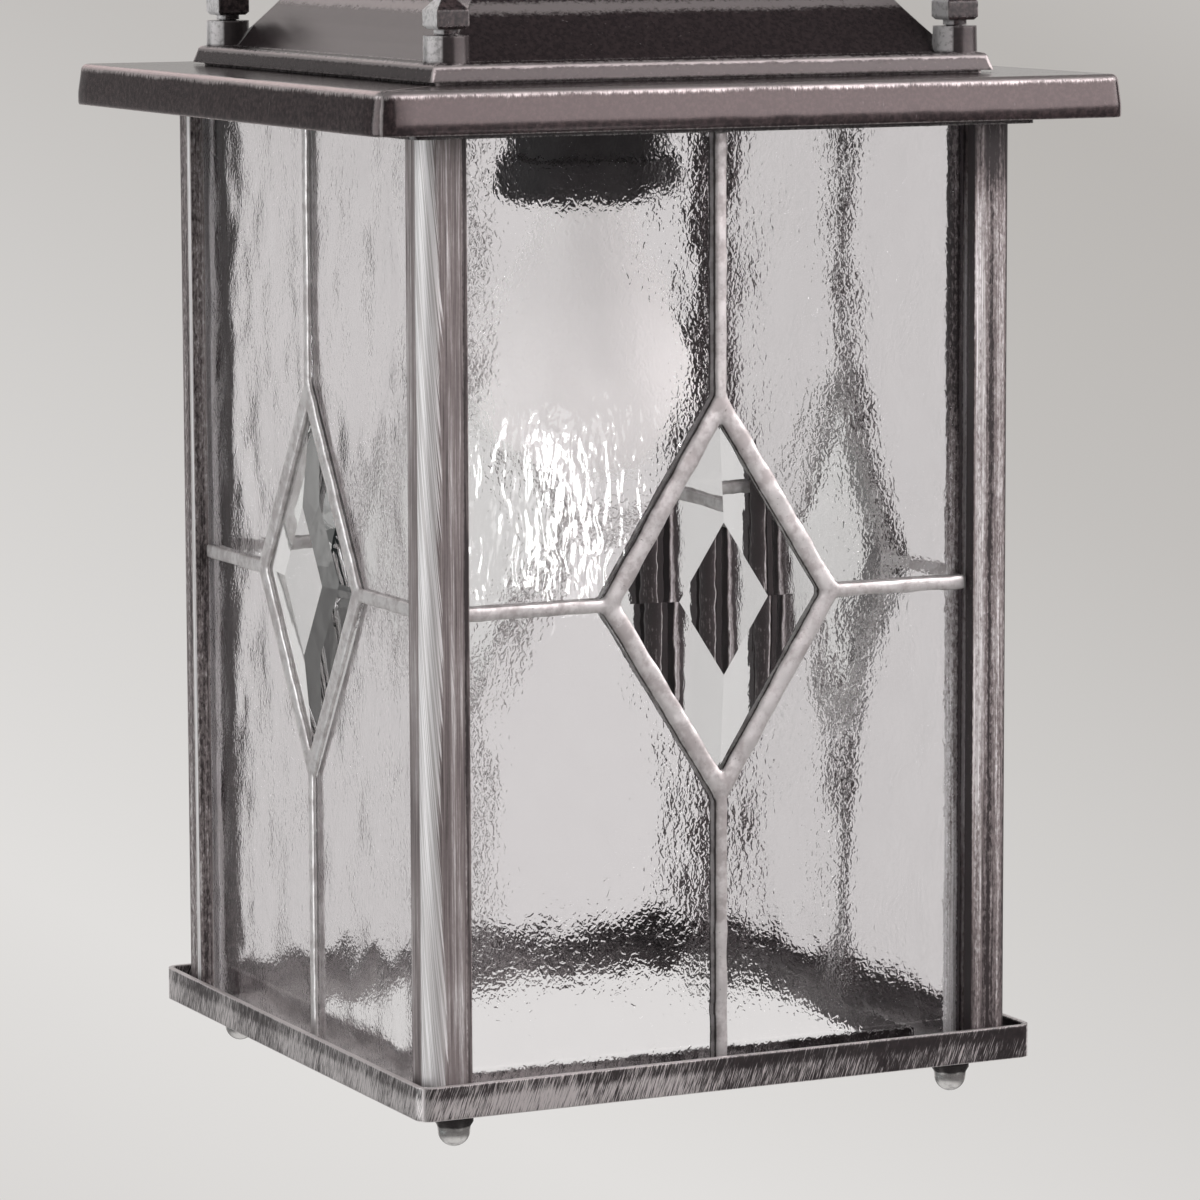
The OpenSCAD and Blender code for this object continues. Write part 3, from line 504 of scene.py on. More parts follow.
MATS = {
    # The eave's silver down its rounded corners is a painted highlight.
    "eave": dry_brushed(
        "eave_paint", 0.05, (1.3, 1.3, 0.20), gloss=0.17, haze=0.16, relief=0.40, tint=0.86,
        bands=(("Z", eave_high.z - 0.6, 1.7, 0.98), ("Z", eave_low.z, 0.3, 0.4)),
        rim_at=eave_high.x - 2.4, arris_silver_and_highlight=(0.9, 0.0, 0.60), seed=1.0),
    "crown": dry_brushed(
        "roof_paint", 0.02, (0.5, 0.5, 0.9), gloss=0.25, haze=0.08, relief=0.3, tint=0.92,
        bands=(("Z", crown_low.z + 4.6, 0.9, 0.55), ("Z", crown_low.z + 2.6, 3.2, 0.07),
               ("Z", crown_low.z + 19.0, 2.0, 0.42)),
        spot=(BOSS_OFF, 6.6, crown_low.z + 5.4, 0.05), arris_silver_and_highlight=(1.1, crown_low.z + 5.3, 0.85),
        painted_west_light=0.90, seed=2.0),
    "base": dry_brushed(
        "base_paint", 0.50, (3.2, 0.28, 0.20), gloss=0.30, haze=0.05, slant=-0.36, grain=2.5, sharp=1.1,
        bands=(("Z", base_high.z, 0.6, 0.85), ("Z", base_low.z, 0.4, 0.75)),
        rim_at=base_high.x - 1.8, arris_silver_and_highlight=(1.3, 0.0, 0.95), underside_shade=0.6, silver=grey(0.98, 0.93, 0.93),
        lift=(("Z", base_high.z - 1.6, 2.6, -0.06), ("Z", base_low.z + 3.0, 3.4, 0.03),
              ("X", 95.0, 130.0, -0.13)),
        seed=4.0),
    "frame": dry_brushed("top_frame_paint", 0.12, (1.4, 1.4, 0.6), seed=5.0),
    "finial": dry_brushed("finial_paint", 0.06, (0.9, 0.9, 0.30), gloss=0.24, haze=0.30, painted_west_light=0.90,
                          metal=0.45, seed=6.0),
    "fitting": dry_brushed("fitting_paint", 0.24, (1.3, 1.3, 0.15), gloss=0.24, seed=7.0),
    "post_front_left": post_paint(
        "near_post_paint", 0.48, 3.0, 0.10, (("X", -75.8, 0.9, -0.20),), cap=0.52, slant=0.13),
    "post_front_right": post_paint(
        "right_post_paint", 0.46, 13.0, 0.70,
        (("X", 74.9, 0.5, -0.40), ("X", 77.0, 2.2, 0.20), ("X", 80.4, 0.8, -0.18), ("X", 83.4, 1.8, 0.08),
         ("X", 86.9, 1.8, -0.50), ("Z", -297.0, 22.0, -0.26), ("Z", -545.0, 70.0, -0.16))),
    "post_back_left": post_paint(
        "left_post_paint", 0.34, 23.0, 0.90,
        (("Y", 77.0, 1.4, 0.9), ("Y", 81.5, 2.4, 0.04), ("X", -79.9, 4.4, 0.56))),
    "post_back_right": post_paint(
        "far_post_paint", -0.42, 33.0, 0.60, (("X", 84.4, 1.2, 0.62),), patch=0.15),
    "rod": post_paint(
        "rod_steel_finish", 0.66, 43.0, 1.0,
        (("Y", 75.3, 8.0, -0.46), ("X", 77.0, 0.8, 0.34), ("Z", -290.0, 140.0, -0.34),
         ("Z", -545.0, 130.0, 0.16))),
    "nut": metal("bright_steel_finish", grey(0.52, 0.50, 0.495), 0.12, 0.12, grain=0.9, bump=0.01),
    "acorn": metal("acorn_nut_finish", grey(0.93, 0.91, 0.90), 0.10, 0.12, grain=0.9, bump=0.01,
                   dark_over=NUT_DARK_Z, shine=0.85),
    "tube": metal("tube_steel_finish", grey(0.60, 0.59, 0.57), 0.28, 0.15, thread=1.0),
    "screw": metal("screw_shell_finish", grey(0.62, 0.62, 0.60), 0.25, 0.15),
    "cap": metal("bulb_cap_finish", grey(0.72, 0.72, 0.71), 0.25, 0.15),
    "rubber": plain("rubber_finish", grey(0.020), grey(0.034), 0.75, 0.5, 0.06),
    "white": plain("white_plastic_finish", grey(0.72, 0.71, 0.68), grey(0.64, 0.63, 0.60), 0.4),
    "black": plain("black_plastic_finish", grey(0.020, 0.016, 0.018), grey(0.042, 0.036, 0.038), 0.42, 0.12),
    "water_out": water_glass("water_glass_outer", 0.062, FRONT_SKIN),
    "water_in": water_glass("water_glass_inner", 0.15, FRONT_RUN),
    "water_side_out": water_glass("water_glass_side_outer", 0.030, SIDE_SKIN),
    "water_side_in": water_glass("water_glass_side_inner", 0.080, SIDE_RUN),
    "bevel": bevel_glass("bevelled_glass_finish"),
    "bulb": opal_glass("bulb_glass_finish"),
}

# Which pieces of the CAD wear each material
DRESS = {
    "fitting": ["ceiling_rose", "ceiling_eye", "link_upper", "link_middle", "link_lower", "hanging_loop",
                "top_cap"],
    "nut": ["eye_nut", "tube_nuts"],
    "acorn": ["acorn_nuts", "base_washers"],
    "rubber": ["rose_grommet", "loop_grommet"],
    "white": ["terminal_block"],
    "crown": ["roof_crown"],
    "tube": ["threaded_tube"],
    "black": ["lampholder_cap", "lampholder_body", "lampholder_ring"],
    "screw": ["screw_shell"],
    "bulb": ["bulb_glass"],
    "cap": ["bulb_screw_cap"],
    "finial": ["finial_" + corner for corner in CORNERS],
    "frame": ["top_frame"],
    "base": ["base_tray"],
    "rod": ["tie_rods"],
    "bevel": ["bevel_" + side for side in SIDES],
}
DRESS.update({"post_" + corner: ["post_" + corner] for corner in CORNERS})


def dress(obj, mat):
    if not obj.material_slots:
        obj.data.materials.append(mat)
    for s in obj.material_slots:
        s.link = "OBJECT"
        s.material = mat


for key, names in DRESS.items():
    for name in names:
        dress(NODES[name], MATS[key])


# Mesh helpers
def link_object(name, data):
    """A new object of the scene, of a mesh or a lamp."""
    ob = bpy.data.objects.new(name, data)
    bpy.context.scene.collection.objects.link(ob)
    return ob


def mesh_object(name, verts, faces, mat):
    me = bpy.data.meshes.new(name)
    me.from_pydata([tuple(v) for v in verts], [], faces)
    me.validate()
    me.materials.append(mat)
    me.polygons.foreach_set("use_smooth", [True] * len(me.polygons))
    me.update()
    return link_object(name, me)


def clean_mesh(ob, sharp, weld_mm=0.0):
    """Joins points closer than weld_mm, turns the faces outward, and keeps edges over that angle crisp."""
    bm = bmesh.new()
    bm.from_mesh(ob.data)
    if weld_mm:
        bmesh.ops.remove_doubles(bm, verts=bm.verts, dist=weld_mm * MM)
    bmesh.ops.recalc_face_normals(bm, faces=bm.faces)
    for e in bm.edges:
        if len(e.link_faces) == 2 and e.calc_face_angle(0.0) > sharp:
            e.smooth = False
    bm.to_mesh(ob.data)
    bm.free()


def apply_modifiers(ob):
    dg = bpy.context.evaluated_depsgraph_get()
    me = bpy.data.meshes.new_from_object(ob.evaluated_get(dg), depsgraph=dg)
    ob.modifiers.clear()
    old = ob.data
    ob.data = me
    bpy.data.meshes.remove(old)


def faces_between(ring_a, ring_b):
    """The four-sided faces between two closed rings of points."""
    n = len(ring_a)
    return [(ring_a[j], ring_a[(j + 1) % n], ring_b[(j + 1) % n], ring_b[j]) for j in range(n)]


# One wall of the lantern: along it, to the right as seen from outside, and outward
WALLS = {
    "front": (Vector((1, 0, 0)), Vector((0, -1, 0))),
    "right": (Vector((0, 1, 0)), Vector((1, 0, 0))),
    "back": (Vector((-1, 0, 0)), Vector((0, 1, 0))),
    "left": (Vector((0, -1, 0)), Vector((-1, 0, 0))),
}


def on_wall(wall, h, z, d):
    """The point of a wall that is h along it, z up and d outward, all in mm."""
    along, outward = wall
    return (along * h + Vector((0, 0, z)) + outward * d) * MM


def wall_reach(node, wall):
    """Each point of a node as h, z and d of a wall, in mm."""
    along, outward = wall
    return [(v.co.dot(along) / MM, v.co.z / MM, v.co.dot(outward) / MM) for v in NODES[node].data.vertices]


# The eave and the acorn nuts, in mm
EAVE_CORNER = 5.0
EAVE_WALL = 3.0
EAVE_LEAN = 0.76
EAVE_SEAT = 92.0
EAVE_HOLE = 66.0
EAVE_UNDER_ROOF = 0.06
EAVE_WAVE = 0.55
EAVE_WEAR = 0.10


def square_loop(half, radius, z, edge_steps=36, corner_steps=10):
    """Points round a square with round corners, from the front-left one, counter-clockwise from above."""
    flat = half - radius
    centres = [(-flat, -flat), (flat, -flat), (flat, flat), (-flat, flat)]
    points = []
    for k, (x, y) in enumerate(centres):
        turns = [math.pi * (1.0 + 0.5 * k) + math.pi / 2 * i / corner_steps for i in range(corner_steps + 1)]
        points += [Vector((x + radius * math.cos(a), y + radius * math.sin(a), z)) for a in turns]
        start = points[-1]
        next_x, next_y = centres[(k + 1) % 4]
        end = Vector((next_x + radius * math.cos(turns[-1]), next_y + radius * math.sin(turns[-1]), z))
        points += [start.lerp(end, i / edge_steps) for i in range(1, edge_steps)]
    return points


def eave_profile():
    """The eave's section as a closed run of (half width, z, least corner radius) in mm: a soft foot, a wall
    that leans in, a rounded shoulder, the top and the hollow. Under the roof the top is a hair lower, so that
    the two never cut each other."""
    top, low, half = eave_high.z, eave_low.z, eave_high.x
    lean_from, lean_high, lean_steps = 4.0, 5.5, 4
    run = [(half - 0.25, low, 1.0), (half - 0.05, low + 0.4, 1.0), (half, low + 1.0, 1.0),
           (half, low + 2.8, 1.0), (half - 0.03, low + 3.4, 1.0), (half - 0.10, low + lean_from, 1.0)]
    for k in range(1, lean_steps + 1):
        part = k / lean_steps
        run.append((half - 0.10 - EAVE_LEAN * part, low + lean_from + lean_high * part, 1.0))
    round_off = 2.0
    centre = (half - 0.10 - EAVE_LEAN - round_off, top - round_off)
    for degrees in (12, 28, 45, 62, 78, 90):
        a = math.radians(degrees)
        run.append((centre[0] + round_off * math.cos(a), centre[1] + round_off * math.sin(a), 1.0))
    under = top - EAVE_UNDER_ROOF
    inner = half - EAVE_WALL
    run += [(half - 6.0, top, 1.0), (crown_high.x + 0.12, top, 0.3), (crown_high.x + 0.08, under, 0.3),
            (EAVE_HOLE, under, 0.3), (EAVE_HOLE, low, 0.3), (EAVE_SEAT, low, 0.3),
            (EAVE_SEAT, top - EAVE_WALL, 0.3), (inner - 1.0, top - EAVE_WALL, 1.0),
            (inner, top - EAVE_WALL - 1.0, 1.0), (inner, low, 1.0)]
    return run


def hand_worn(q, half, outer_half):
    """A point of the eave, moved a little where it is on the outside: the wall isn't quite even."""
    if half > outer_half - 0.3 and q.z > eave_low.z + 2.0:
        q.z += EAVE_WAVE * noise.noise(Vector((q.x / 9, q.y / 9, 3.0)))
    if half > outer_half - 2.0:
        out = Vector((q.x, q.y, 0)).normalized()
        q = q - out * EAVE_WEAR * (0.5 + 0.5 * noise.noise(Vector((q.x / 22, q.y / 22, q.z / 9))))
    return q


def eave():
    """The eave tray, hollow from below, with soft edges and a wall that leans in a little towards the top."""
    outer_half = eave_high.x
    rings, verts, faces = [], [], []
    for half, z, least in eave_profile():
        radius = max(least, EAVE_CORNER - (outer_half - half))
        points = [hand_worn(q, half, outer_half) for q in square_loop(half, radius, z)]
        rings.append(range(len(verts), len(verts) + len(points)))
        verts += [q * MM for q in points]
    for ring_a, ring_b in zip(rings, rings[1:] + rings[:1]):
        faces += faces_between(ring_a, ring_b)
    ob = mesh_object("eave", verts, faces, MATS["eave"])
    clean_mesh(ob, 0.6)
    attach(ob, "cage")
    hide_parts("eave_tray")


eave()

NUT_FLAT = 4.6
NUT_CORNER = 5.25
NUT_DOME = 4.4
NUT_CHAMFER = (5.5, 6.7)
NUT_SIDES = 48
NUT_GAP = 0.02


def nut_radius(h, a):
    """How wide a nut is at height h over its tip and at angle a: a dome, then a hexagon with a chamfer."""
    if h <= NUT_DOME:
        return math.sqrt(max(0.0, NUT_DOME ** 2 - (NUT_DOME - h) ** 2))
    hexagon = NUT_FLAT / math.cos((a + math.pi / 6) % (math.pi / 3) - math.pi / 6)
    foot = NUT_DOME + 0.1
    part = min(1.0, (h - NUT_CHAMFER[0]) / (NUT_CHAMFER[1] - NUT_CHAMFER[0]))
    return min(hexagon, foot + (NUT_CORNER - foot) * part)


def domed_nuts():
    """The four acorn nuts under the base: a hexagon with a chamfer, and a long dome below it."""
    steps = 8
    heights = [NUT_DOME * (1 - math.cos(math.pi / 2 * k / steps)) for k in range(1, steps + 1)]
    heights += [*NUT_CHAMFER, nut_high.z - nut_low.z - NUT_GAP]
    turns = [2 * math.pi * k / NUT_SIDES for k in range(NUT_SIDES)]
    verts, faces = [], []
    for x in (-BOSS_OFF, BOSS_OFF):
        for y in (-BOSS_OFF, BOSS_OFF):
            place = Vector((x, y, nut_low.z))
            tip = len(verts)
            verts.append(place * MM)
            rings = []
            for h in heights:
                rings.append(range(len(verts), len(verts) + NUT_SIDES))
                for a in turns:
                    r = nut_radius(h, a)
                    verts.append((place + Vector((r * math.cos(a), r * math.sin(a), h))) * MM)
            first = rings[0]
            faces += [(tip, first[(k + 1) % NUT_SIDES], first[k]) for k in range(NUT_SIDES)]
            for ring_a, ring_b in zip(rings, rings[1:]):
                faces += faces_between(ring_a, ring_b)
            faces.append(tuple(rings[-1]))
    ob = mesh_object("domed_nuts", verts, faces, MATS["acorn"])
    clean_mesh(ob, 0.5)
    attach(ob, "cage")
    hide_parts("acorn_nuts")


domed_nuts()

# The panes of water glass, in mm. The outer face has only a share of the ripple
CELL = 1.4
RIPPLE_MAX = 0.55
OUTER_SHARE = 0.06


def convex_outline(points):
    """Corner points of a convex outline, in order."""
    pts = sorted(set((round(a, 3), round(b, 3)) for a, b in points))

    def half(seq):
        out = []
        for q in seq:
            while len(out) >= 2:
                (x1, y1), (x2, y2) = out[-2], out[-1]
                if (x2 - x1) * (q[1] - y1) - (y2 - y1) * (q[0] - x1) <= 0.01:
                    out.pop()
                else:
                    break
            out.append(q)
        return out

    lower, upper = half(pts), half(reversed(pts))
    return lower[:-1] + upper[:-1]


def span(outline, z):
    """Lowest and highest h of the outline at height z."""
    hs = []
    for (h1, z1), (h2, z2) in zip(outline, outline[1:] + outline[:1]):
        if abs(z2 - z1) < 1e-9:
            if abs(z - z1) < 1e-6:
                hs += [h1, h2]
        elif min(z1, z2) - 1e-6 <= z <= max(z1, z2) + 1e-6:
            hs.append(h1 + (h2 - h1) * (z - z1) / (z2 - z1))
    return min(hs), max(hs)


def rows_of(outline):
    """Heights about one cell apart, with every corner of the outline among them."""
    levels = sorted(set(z for _, z in outline))
    rows = [levels[0]]
    for a, b in zip(levels, levels[1:]):
        n = max(1, round((b - a) / CELL))
        rows += [a + (b - a) * i / n for i in range(1, n + 1)]
    return rows


def ripple(h, z, seed):
    """Height of the rolled face of water glass, in mm: broad dimples, a cross swell and a finer run."""
    dimples = noise.noise(Vector((h / 13.0, z / 17.0, seed)))
    swell = noise.noise(Vector((h / 6.5 + 9.0, z / 9.5, seed + 4.0)))
    run = noise.noise(Vector((h / 3.0, z / 4.5 + 3.0, seed + 8.0)))
    return RIPPLE_MAX + 0.36 * dimples + 0.12 * swell + 0.02 * run


def water_pane(side, part, seed):
    """One pane, inside the CAD's pane: nearly flat outside and rippled inside, with its rim closed."""
    node = f"glass_{side}_{part}"
    wall = WALLS[side]
    points = wall_reach(node, wall)
    outer = max(d for _, _, d in points)
    inner = min(d for _, _, d in points)
    outline = convex_outline([(h, z) for h, z, _ in points])
    rows = rows_of(outline)
    spans = [span(outline, z) for z in rows]
    cols = max(8, round(max(right - left for left, right in spans) / CELL))
    verts, front, rear = [], [], []
    for z, (left, right) in zip(rows, spans):
        hs = [left + (right - left) * i / cols for i in range(cols + 1)]
        front.append(range(len(verts), len(verts) + cols + 1))
        verts += [on_wall(wall, h, z, outer - max(0.0, OUTER_SHARE * ripple(h, z, seed))) for h in hs]
        rear.append(range(len(verts), len(verts) + cols + 1))
        verts += [on_wall(wall, h, z, inner + max(0.0, ripple(h, z, seed + 40.0))) for h in hs]
    cells = [(r, i) for r in range(len(rows) - 1) for i in range(cols)]
    faces = [(front[r][i], front[r][i + 1], front[r + 1][i + 1], front[r + 1][i]) for r, i in cells]
    faces += [(rear[r][i], rear[r + 1][i], rear[r + 1][i + 1], rear[r][i + 1]) for r, i in cells]
    rim = [(r, 0) for r in range(len(rows))] + [(len(rows) - 1, i) for i in range(1, cols + 1)]
    rim += [(r, cols) for r in range(len(rows) - 2, -1, -1)] + [(0, i) for i in range(cols - 1, 0, -1)]
    faces += faces_between([front[r][i] for r, i in rim], [rear[r][i] for r, i in rim])
    kind = "water_" if side in ("front", "back") else "water_side_"
    ob = mesh_object(f"water_{side}_{part}", verts, faces, MATS[kind + "out"])
    ob.data.materials.append(MATS[kind + "in"])
    for f in ob.data.polygons:
        f.material_index = 1 if len(cells) <= f.index < 2 * len(cells) else 0
    clean_mesh(ob, 0.7, weld_mm=0.01)
    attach(ob, "cage")
    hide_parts(node)


for side_index, side in enumerate(SIDES):
    for pane_index, part in enumerate(PANES):
        water_pane(side, part, 3.0 + 11.0 * side_index + 2.7 * pane_index)

# The leaded joints, in mm
DIAMOND_W, DIAMOND_H, DIAMOND_Z = 66.0, 104.0, -419.2
DIAMOND_LEAD, ARM_LEAD = 5.7, 4.0
ARM_RISE = 0.92
BEAD_STEP = 1.2
BEAD_SIDES = 8
BEAD_OFF_GLASS = 0.02
BEAD_SPARE = 0.05
BLOB_RADIUS = 3.3
WEB_WIDE = 1.0
WEB_PROUD = 0.3
FUSE_VOXEL = 0.42


def sweep(bm, wall, a, b, wide, plane, rise, seed):
    """A rounded bead from a to b (h, z in mm), rise mm high over plane, uneven like hand-laid solder."""
    a, b = Vector(a), Vector(b)
    length = (b - a).length
    ahead = (b - a) / length
    side_step = Vector((-ahead.y, ahead.x))
    steps = max(2, round(length / BEAD_STEP))
    turns = [math.pi * k / BEAD_SIDES for k in range(BEAD_SIDES + 1)]

    def uneven(s, reach, row):
        return noise.noise(Vector((s / reach, seed, row)))

    rings = []
    for i in range(steps + 1):
        s = length * i / steps
        half = wide / 2 * (1 + 0.09 * uneven(s, 7.0, 1.0) + 0.03 * uneven(s, 2.5, 5.0))
        high = rise * (1 + 0.14 * uneven(s, 8.0, 9.0) + 0.04 * uneven(s, 3.0, 3.0))
        middle = a + ahead * s + side_step * (0.18 * uneven(s, 8.0, 7.0))
        ring = []
        for u in turns:
            across = math.copysign(abs(math.cos(u)) ** 0.8, math.cos(u))
            q = middle + side_step * (across * half)
            ring.append(bm.verts.new(on_wall(wall, q.x, q.y, plane + high * abs(math.sin(u)) ** 0.40)))
        rings.append(ring)
    for ring_a, ring_b in zip(rings, rings[1:]):
        for face in faces_between(ring_a, ring_b):
            bm.faces.new(face)
    bm.faces.new(rings[0])
    bm.faces.new(rings[-1][::-1])


def blob(bm, wall, at, plane, rise, stretch):
    """A flattened dome of solder where beads meet, at (h, z) in mm."""
    rows, cols = 6, 20
    rings = []
    for i in range(rows):
        u = math.pi / 2 * i / rows
        ring = []
        for j in range(cols):
            v = 2 * math.pi * j / cols
            uneven = noise.noise(Vector((math.cos(v) * 1.3 + at[0], math.sin(v) * 1.3 + at[1], 2.0)))
            radius = BLOB_RADIUS * (1 + 0.08 * uneven) * math.cos(u)
            h = at[0] + radius * stretch[0] * math.cos(v)
            z = at[1] + radius * stretch[1] * math.sin(v)
            ring.append(bm.verts.new(on_wall(wall, h, z, plane + rise * math.sin(u))))
        rings.append(ring)
    top = bm.verts.new(on_wall(wall, at[0], at[1], plane + rise))
    for ring_a, ring_b in zip(rings, rings[1:]):
        for face in faces_between(ring_a, ring_b):
            bm.faces.new(face)
    for j in range(cols):
        bm.faces.new((rings[-1][j], rings[-1][(j + 1) % cols], top))
    bm.faces.new(rings[0][::-1])


def web(bm, wall, a, b, low, high):
    """The flat web between the panes, from a to b (h, z in mm) and from low to high outward."""
    a, b = Vector(a), Vector(b)
    ahead = (b - a).normalized()
    half = Vector((-ahead.y, ahead.x)) * (WEB_WIDE / 2)
    points = []
    for q in (a - half, a + half, b - half, b + half):
        points += [bm.verts.new(on_wall(wall, q.x, q.y, d)) for d in (low, high)]
    for f in ((0, 1, 3, 2), (4, 6, 7, 5), (0, 4, 5, 1), (2, 3, 7, 6), (0, 2, 6, 4), (1, 5, 7, 3)):
        bm.faces.new([points[i] for i in f])


def came(side, seed):
    """One side's lead: a diamond and four arms of solder beads on both faces of the glass, as one mesh."""
    wall = WALLS[side]
    hs, zs, ds = zip(*wall_reach("lead_" + side, wall))
    glass = [d for _, _, d in wall_reach(f"glass_{side}_upper_left", wall)]
    glass_in, glass_out = min(glass), max(glass)
    arm = max(hs)
    corners = [(0.0, DIAMOND_Z + DIAMOND_H / 2), (DIAMOND_W / 2, DIAMOND_Z),
               (0.0, DIAMOND_Z - DIAMOND_H / 2), (-DIAMOND_W / 2, DIAMOND_Z)]
    ends = [(0.0, max(zs)), (arm, DIAMOND_Z), (0.0, min(zs)), (-arm, DIAMOND_Z)]
    outside = (glass_out + BEAD_OFF_GLASS, max(ds) - glass_out - BEAD_SPARE)
    inside = (glass_in - BEAD_OFF_GLASS, min(ds) - glass_in + BEAD_SPARE)
    web_low, web_high = glass_in - WEB_PROUD, glass_out + WEB_PROUD
    bm = bmesh.new()
    for face, (plane, rise) in enumerate((outside, inside)):
        for k in range(4):
            first = seed + k + 10 * face
            sweep(bm, wall, corners[k], corners[(k + 1) % 4], DIAMOND_LEAD, plane, rise, first)
            sweep(bm, wall, corners[k], ends[k], ARM_LEAD, plane, rise * ARM_RISE, first + 5)
            blob(bm, wall, corners[k], plane, rise, (0.85, 1.25) if k % 2 == 0 else (1.2, 0.85))
    for k in range(4):
        web(bm, wall, corners[k], corners[(k + 1) % 4], web_low, web_high)
        web(bm, wall, corners[k], ends[k], web_low, web_high)
    bmesh.ops.recalc_face_normals(bm, faces=bm.faces)
    me = bpy.data.meshes.new("came_" + side)
    bm.to_mesh(me)
    bm.free()
    me.materials.append(solder("lead_finish_" + side, wall[0]))
    ob = link_object("came_" + side, me)
    fuse = ob.modifiers.new("fuse", "REMESH")
    fuse.mode = "VOXEL"
    fuse.voxel_size = FUSE_VOXEL * MM
    fuse.use_smooth_shade = True
    relax = ob.modifiers.new("relax", "SMOOTH")
    relax.factor = 0.5
    relax.iterations = 4
    apply_modifiers(ob)
    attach(ob, "cage")
    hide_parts("lead_" + side)


for side_index, side in enumerate(SIDES):
    came(side, 20.0 * side_index + 1.0)

# Floor, in metres
FLOOR_DROP = 0.42
FLOOR_RADIUS = 1.6
FLOOR_RINGS = 24
FLOOR_SPOKES = 96


def floor_finish():
    """Pale, fading out towards the rim, and clear from underneath. Gloss sees it glow under the lantern."""
    m, t, out = new_material("floor_finish")
    p = t.mm()
    flat = t.add("ShaderNodeVectorMath", {0: p, 1: (1, 1, 0)}, operation="MULTIPLY")
    far = t.add("ShaderNodeVectorMath", {0: flat}, operation="LENGTH").outputs["Value"]
    underneath = t.add("ShaderNodeNewGeometry").outputs["Backfacing"]
    fade = t.math("MAXIMUM", t.ramp(far, 700.0, 1550.0), underneath)
    tone = t.mix(t.noise(p, even(0.004), 2.0, 0.4), grey(0.74, 0.735, 0.71), grey(0.77, 0.765, 0.74))
    matt = t.add("ShaderNodeBsdfPrincipled", {"Base Color": tone, "Roughness": 0.8})
    glow = t.mix(t.ramp(far, 250.0, 800.0), grey(0.55, 0.545, 0.535), grey(0.10, 0.098, 0.096))
    pale = t.add("ShaderNodeEmission", {"Color": glow, "Strength": 1.0})
    mirrored = t.math("MINIMUM", t.add("ShaderNodeLightPath").outputs["Glossy Depth"], 1.0)
    lit = t.add("ShaderNodeMixShader", {0: mirrored, 1: matt, 2: pale})
    clear = t.add("ShaderNodeBsdfTransparent")
    t.set(out, "Surface", t.add("ShaderNodeMixShader", {0: fade, 1: lit, 2: clear}))
    return m


def make_floor():
    """A round floor below the lantern."""
    height = cad_low.z - FLOOR_DROP
    verts, rings = [Vector((0, 0, height))], []
    for r in range(1, FLOOR_RINGS + 1):
        radius = FLOOR_RADIUS * r / FLOOR_RINGS
        rings.append(range(len(verts), len(verts) + FLOOR_SPOKES))
        for s in range(FLOOR_SPOKES):
            a = 2 * math.pi * s / FLOOR_SPOKES
            verts.append(Vector((radius * math.cos(a), radius * math.sin(a), height)))
    faces = [(0, rings[0][s], rings[0][(s + 1) % FLOOR_SPOKES]) for s in range(FLOOR_SPOKES)]
    for inner, outer in zip(rings, rings[1:]):
        faces += faces_between(outer, inner)
    mesh_object("floor", verts, faces, floor_finish())


# World. Along the slope of the sweep: place, brightness, and how warm it is
SWEEP_STOPS = ((-1.0, 0.58, 0.955), (-0.16, 0.70, 0.955), (-0.10, 0.755, 0.96), (0.0, 0.625, 0.95),
               (0.06, 0.54, 0.935), (0.13, 0.485, 0.92), (0.28, 0.72, 0.95), (0.42, 0.72, 0.95),
               (0.62, 0.19, 0.95), (1.0, 0.08, 0.95))
ROOM = grey(0.085, 0.08, 0.08)
ROOM_LIGHT = grey(0.30, 0.295, 0.29)
THROUGH_GLASS = grey(0.83, 0.814, 0.80)
LEFT_WALL = grey(0.20, 0.235, 0.235)
LEFT_WALL_WAY = (-0.944, 0.330, 0.0)


def sweep_ramp(t, place):
    """The colours of the studio sweep, from a place between 0 and 1."""
    ramp = t.add("ShaderNodeValToRGB", {0: place})
    stops = ramp.color_ramp.elements
    while len(stops) < len(SWEEP_STOPS):
        stops.new(0.5)
    for stop, (at, light, warm) in zip(stops, SWEEP_STOPS):
        stop.position = (at + 1.0) / 2.0
        stop.color = (light, light * (warm + 1.0) / 2.0, light * warm, 1.0)
    return ramp.outputs[0]


def make_world():
    """A pale studio sweep, lighter low down and to the left of the photograph's view, dim overhead.
    Gloss sees the sweep where it hangs, and a dimmer room elsewhere."""
    world = bpy.data.worlds.new("studio")
    bpy.context.scene.world = world
    world.use_nodes = True
    t = Tree(world.node_tree)
    out = t.add("ShaderNodeOutputWorld")
    way = t.add("ShaderNodeTexCoord").outputs["Generated"]
    slope = t.dot(way, tuple(CAM_Y + CAM_X * 0.5))
    sweep_colour = sweep_ramp(t, t.ramp(slope, -1.0, 1.0, smooth=False))
    ahead = t.ramp(t.dot(way, tuple(-BACK)), 0.62, 0.86)
    room = t.mix(ahead, ROOM, sweep_colour)
    ray = t.add("ShaderNodeLightPath").outputs
    room = t.mix(ray["Is Diffuse Ray"], room, ROOM_LIGHT)
    room = t.mix(t.ramp(t.dot(way, LEFT_WALL_WAY), 0.76, 0.90), room, LEFT_WALL)
    straight = t.math("SUBTRACT", 1.0, t.math("MINIMUM", ray["Glossy Depth"], 1.0))
    through = t.times(ray["Is Transmission Ray"], straight)
    seen = t.math("MAXIMUM", ray["Is Camera Ray"], through)
    backdrop = t.mix(t.times(through, 0.85), sweep_colour, THROUGH_GLASS)
    colour = t.mix(seen, room, backdrop)
    t.set(out, "Surface", t.add("ShaderNodeBackground", {"Color": colour, "Strength": 1.0}))


# Lamps, in metres. The small ones stand low on the right, where the front panes mirror them
EAVE_Z = eave_low.z * MM
GLINT_AT = Vector((587.0, -1431.0, -572.0)) * MM
GLINT_AIM = Vector((-48.4, -83.1, -389.8)) * MM


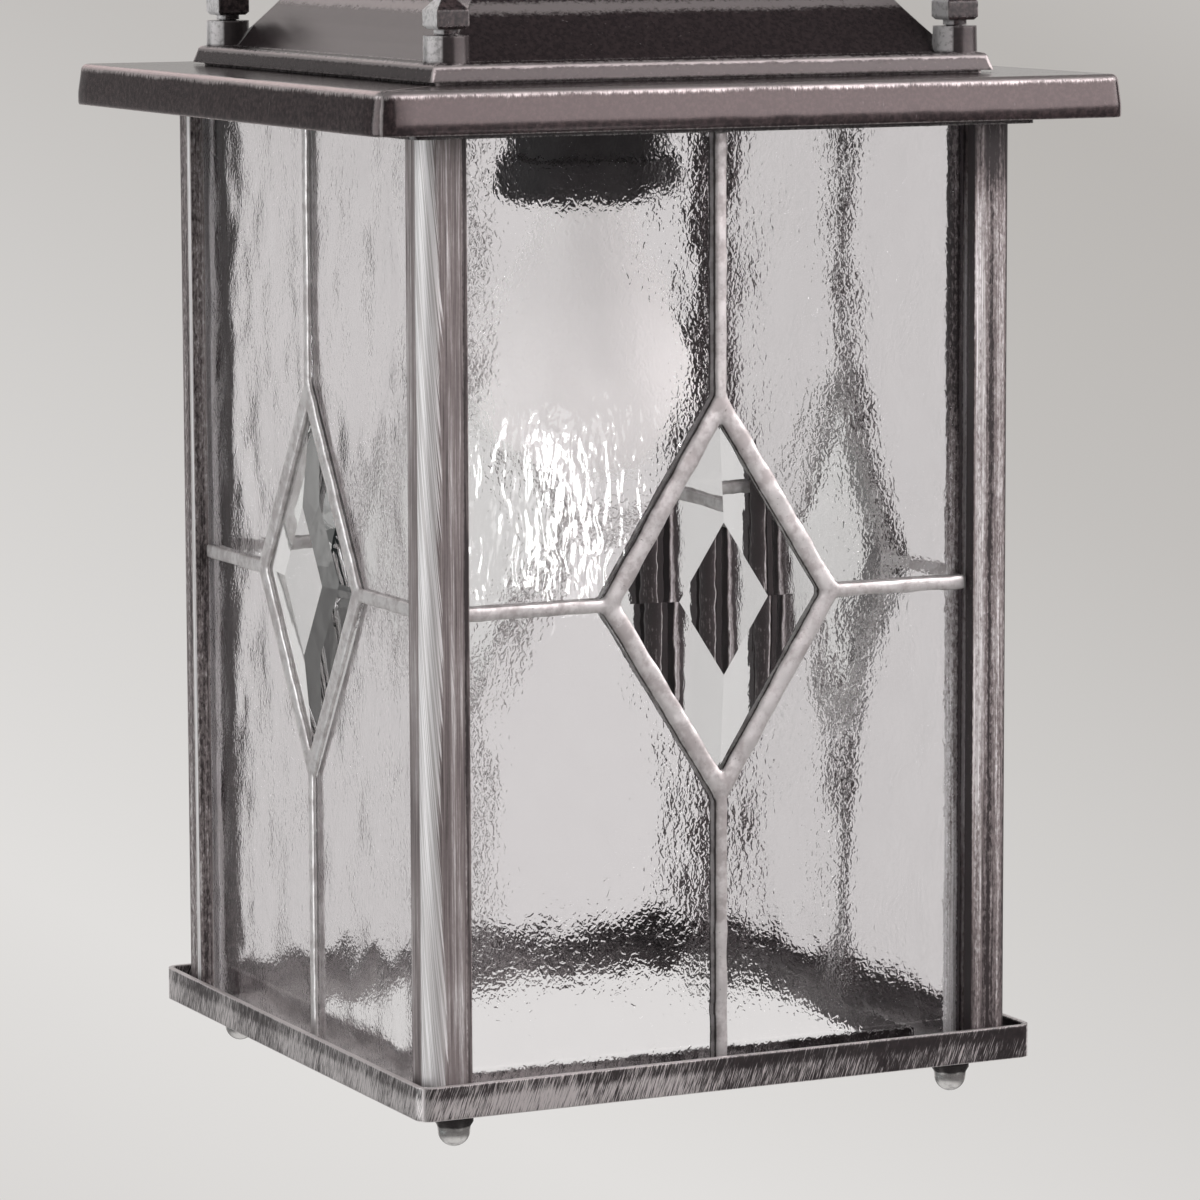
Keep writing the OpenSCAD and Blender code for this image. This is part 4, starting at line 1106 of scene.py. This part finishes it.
def area_lamp(name, place, aim, width, height, radiance, colour=(1.0, 1.0, 1.0)):
    """A rectangular lamp that the camera doesn't see, neither straight nor through glass."""
    data = bpy.data.lights.new(name, "AREA")
    data.shape = "RECTANGLE"
    data.size = width
    data.size_y = height
    data.energy = radiance * math.pi * width * height
    data.color = colour
    lamp = link_object(name, data)
    lamp.location = place
    lamp.rotation_mode = "QUATERNION"
    lamp.rotation_quaternion = (aim - place).to_track_quat("-Z", "Y")
    lamp.visible_camera = False
    lamp.visible_transmission = False
    return lamp


def softbox(name, azimuth, low_el, high_el, width, distance, radiance, colour=(1.0, 1.0, 1.0)):
    """A lamp that faces the lantern. azimuth 0 is in front, 90 on the right. Its lower and upper ends are at
    these elevations, seen from the eave."""
    a = math.radians(azimuth)
    low, high = [EAVE_Z + distance * math.tan(math.radians(el)) for el in (low_el, high_el)]
    middle = Vector((0, 0, (low + high) / 2))
    place = middle + Vector((distance * math.sin(a), -distance * math.cos(a), 0))
    return area_lamp(name, place, middle, width, high - low, radiance, colour)


def make_lamps():
    """Large lamps beside, over and behind the lantern, and two small ones for the broken bright patch."""
    softbox("key_right", azimuth=48.0, low_el=1.0, high_el=35.0, width=2.3, distance=1.9, radiance=4.2,
            colour=(1.0, 0.93, 0.935))
    softbox("fill_left", azimuth=-101.0, low_el=-22.0, high_el=26.0, width=1.7, distance=1.9, radiance=2.4,
            colour=(1.0, 0.985, 0.985))
    top = softbox("fill_top", azimuth=20.0, low_el=48.0, high_el=60.0, width=1.6, distance=1.2, radiance=1.2)
    top.visible_glossy = False
    softbox("back_high", azimuth=-168.0, low_el=19.0, high_el=40.0, width=1.6, distance=1.9, radiance=0.85,
            colour=(1.0, 0.91, 0.90))
    glint = area_lamp("glint", GLINT_AT, GLINT_AIM, width=0.018, height=0.080, radiance=36.0)
    glint.visible_transmission = True
    area_lamp("glow", GLINT_AT, GLINT_AIM, width=0.046, height=0.104, radiance=2.6)


make_floor()
make_world()
make_lamps()

scene = bpy.context.scene
scene.view_settings.view_transform = "Standard"
scene.cycles.transmission_bounces = 20
scene.cycles.glossy_bounces = 14
scene.cycles.max_bounces = 24
scene.cycles.transparent_max_bounces = 16
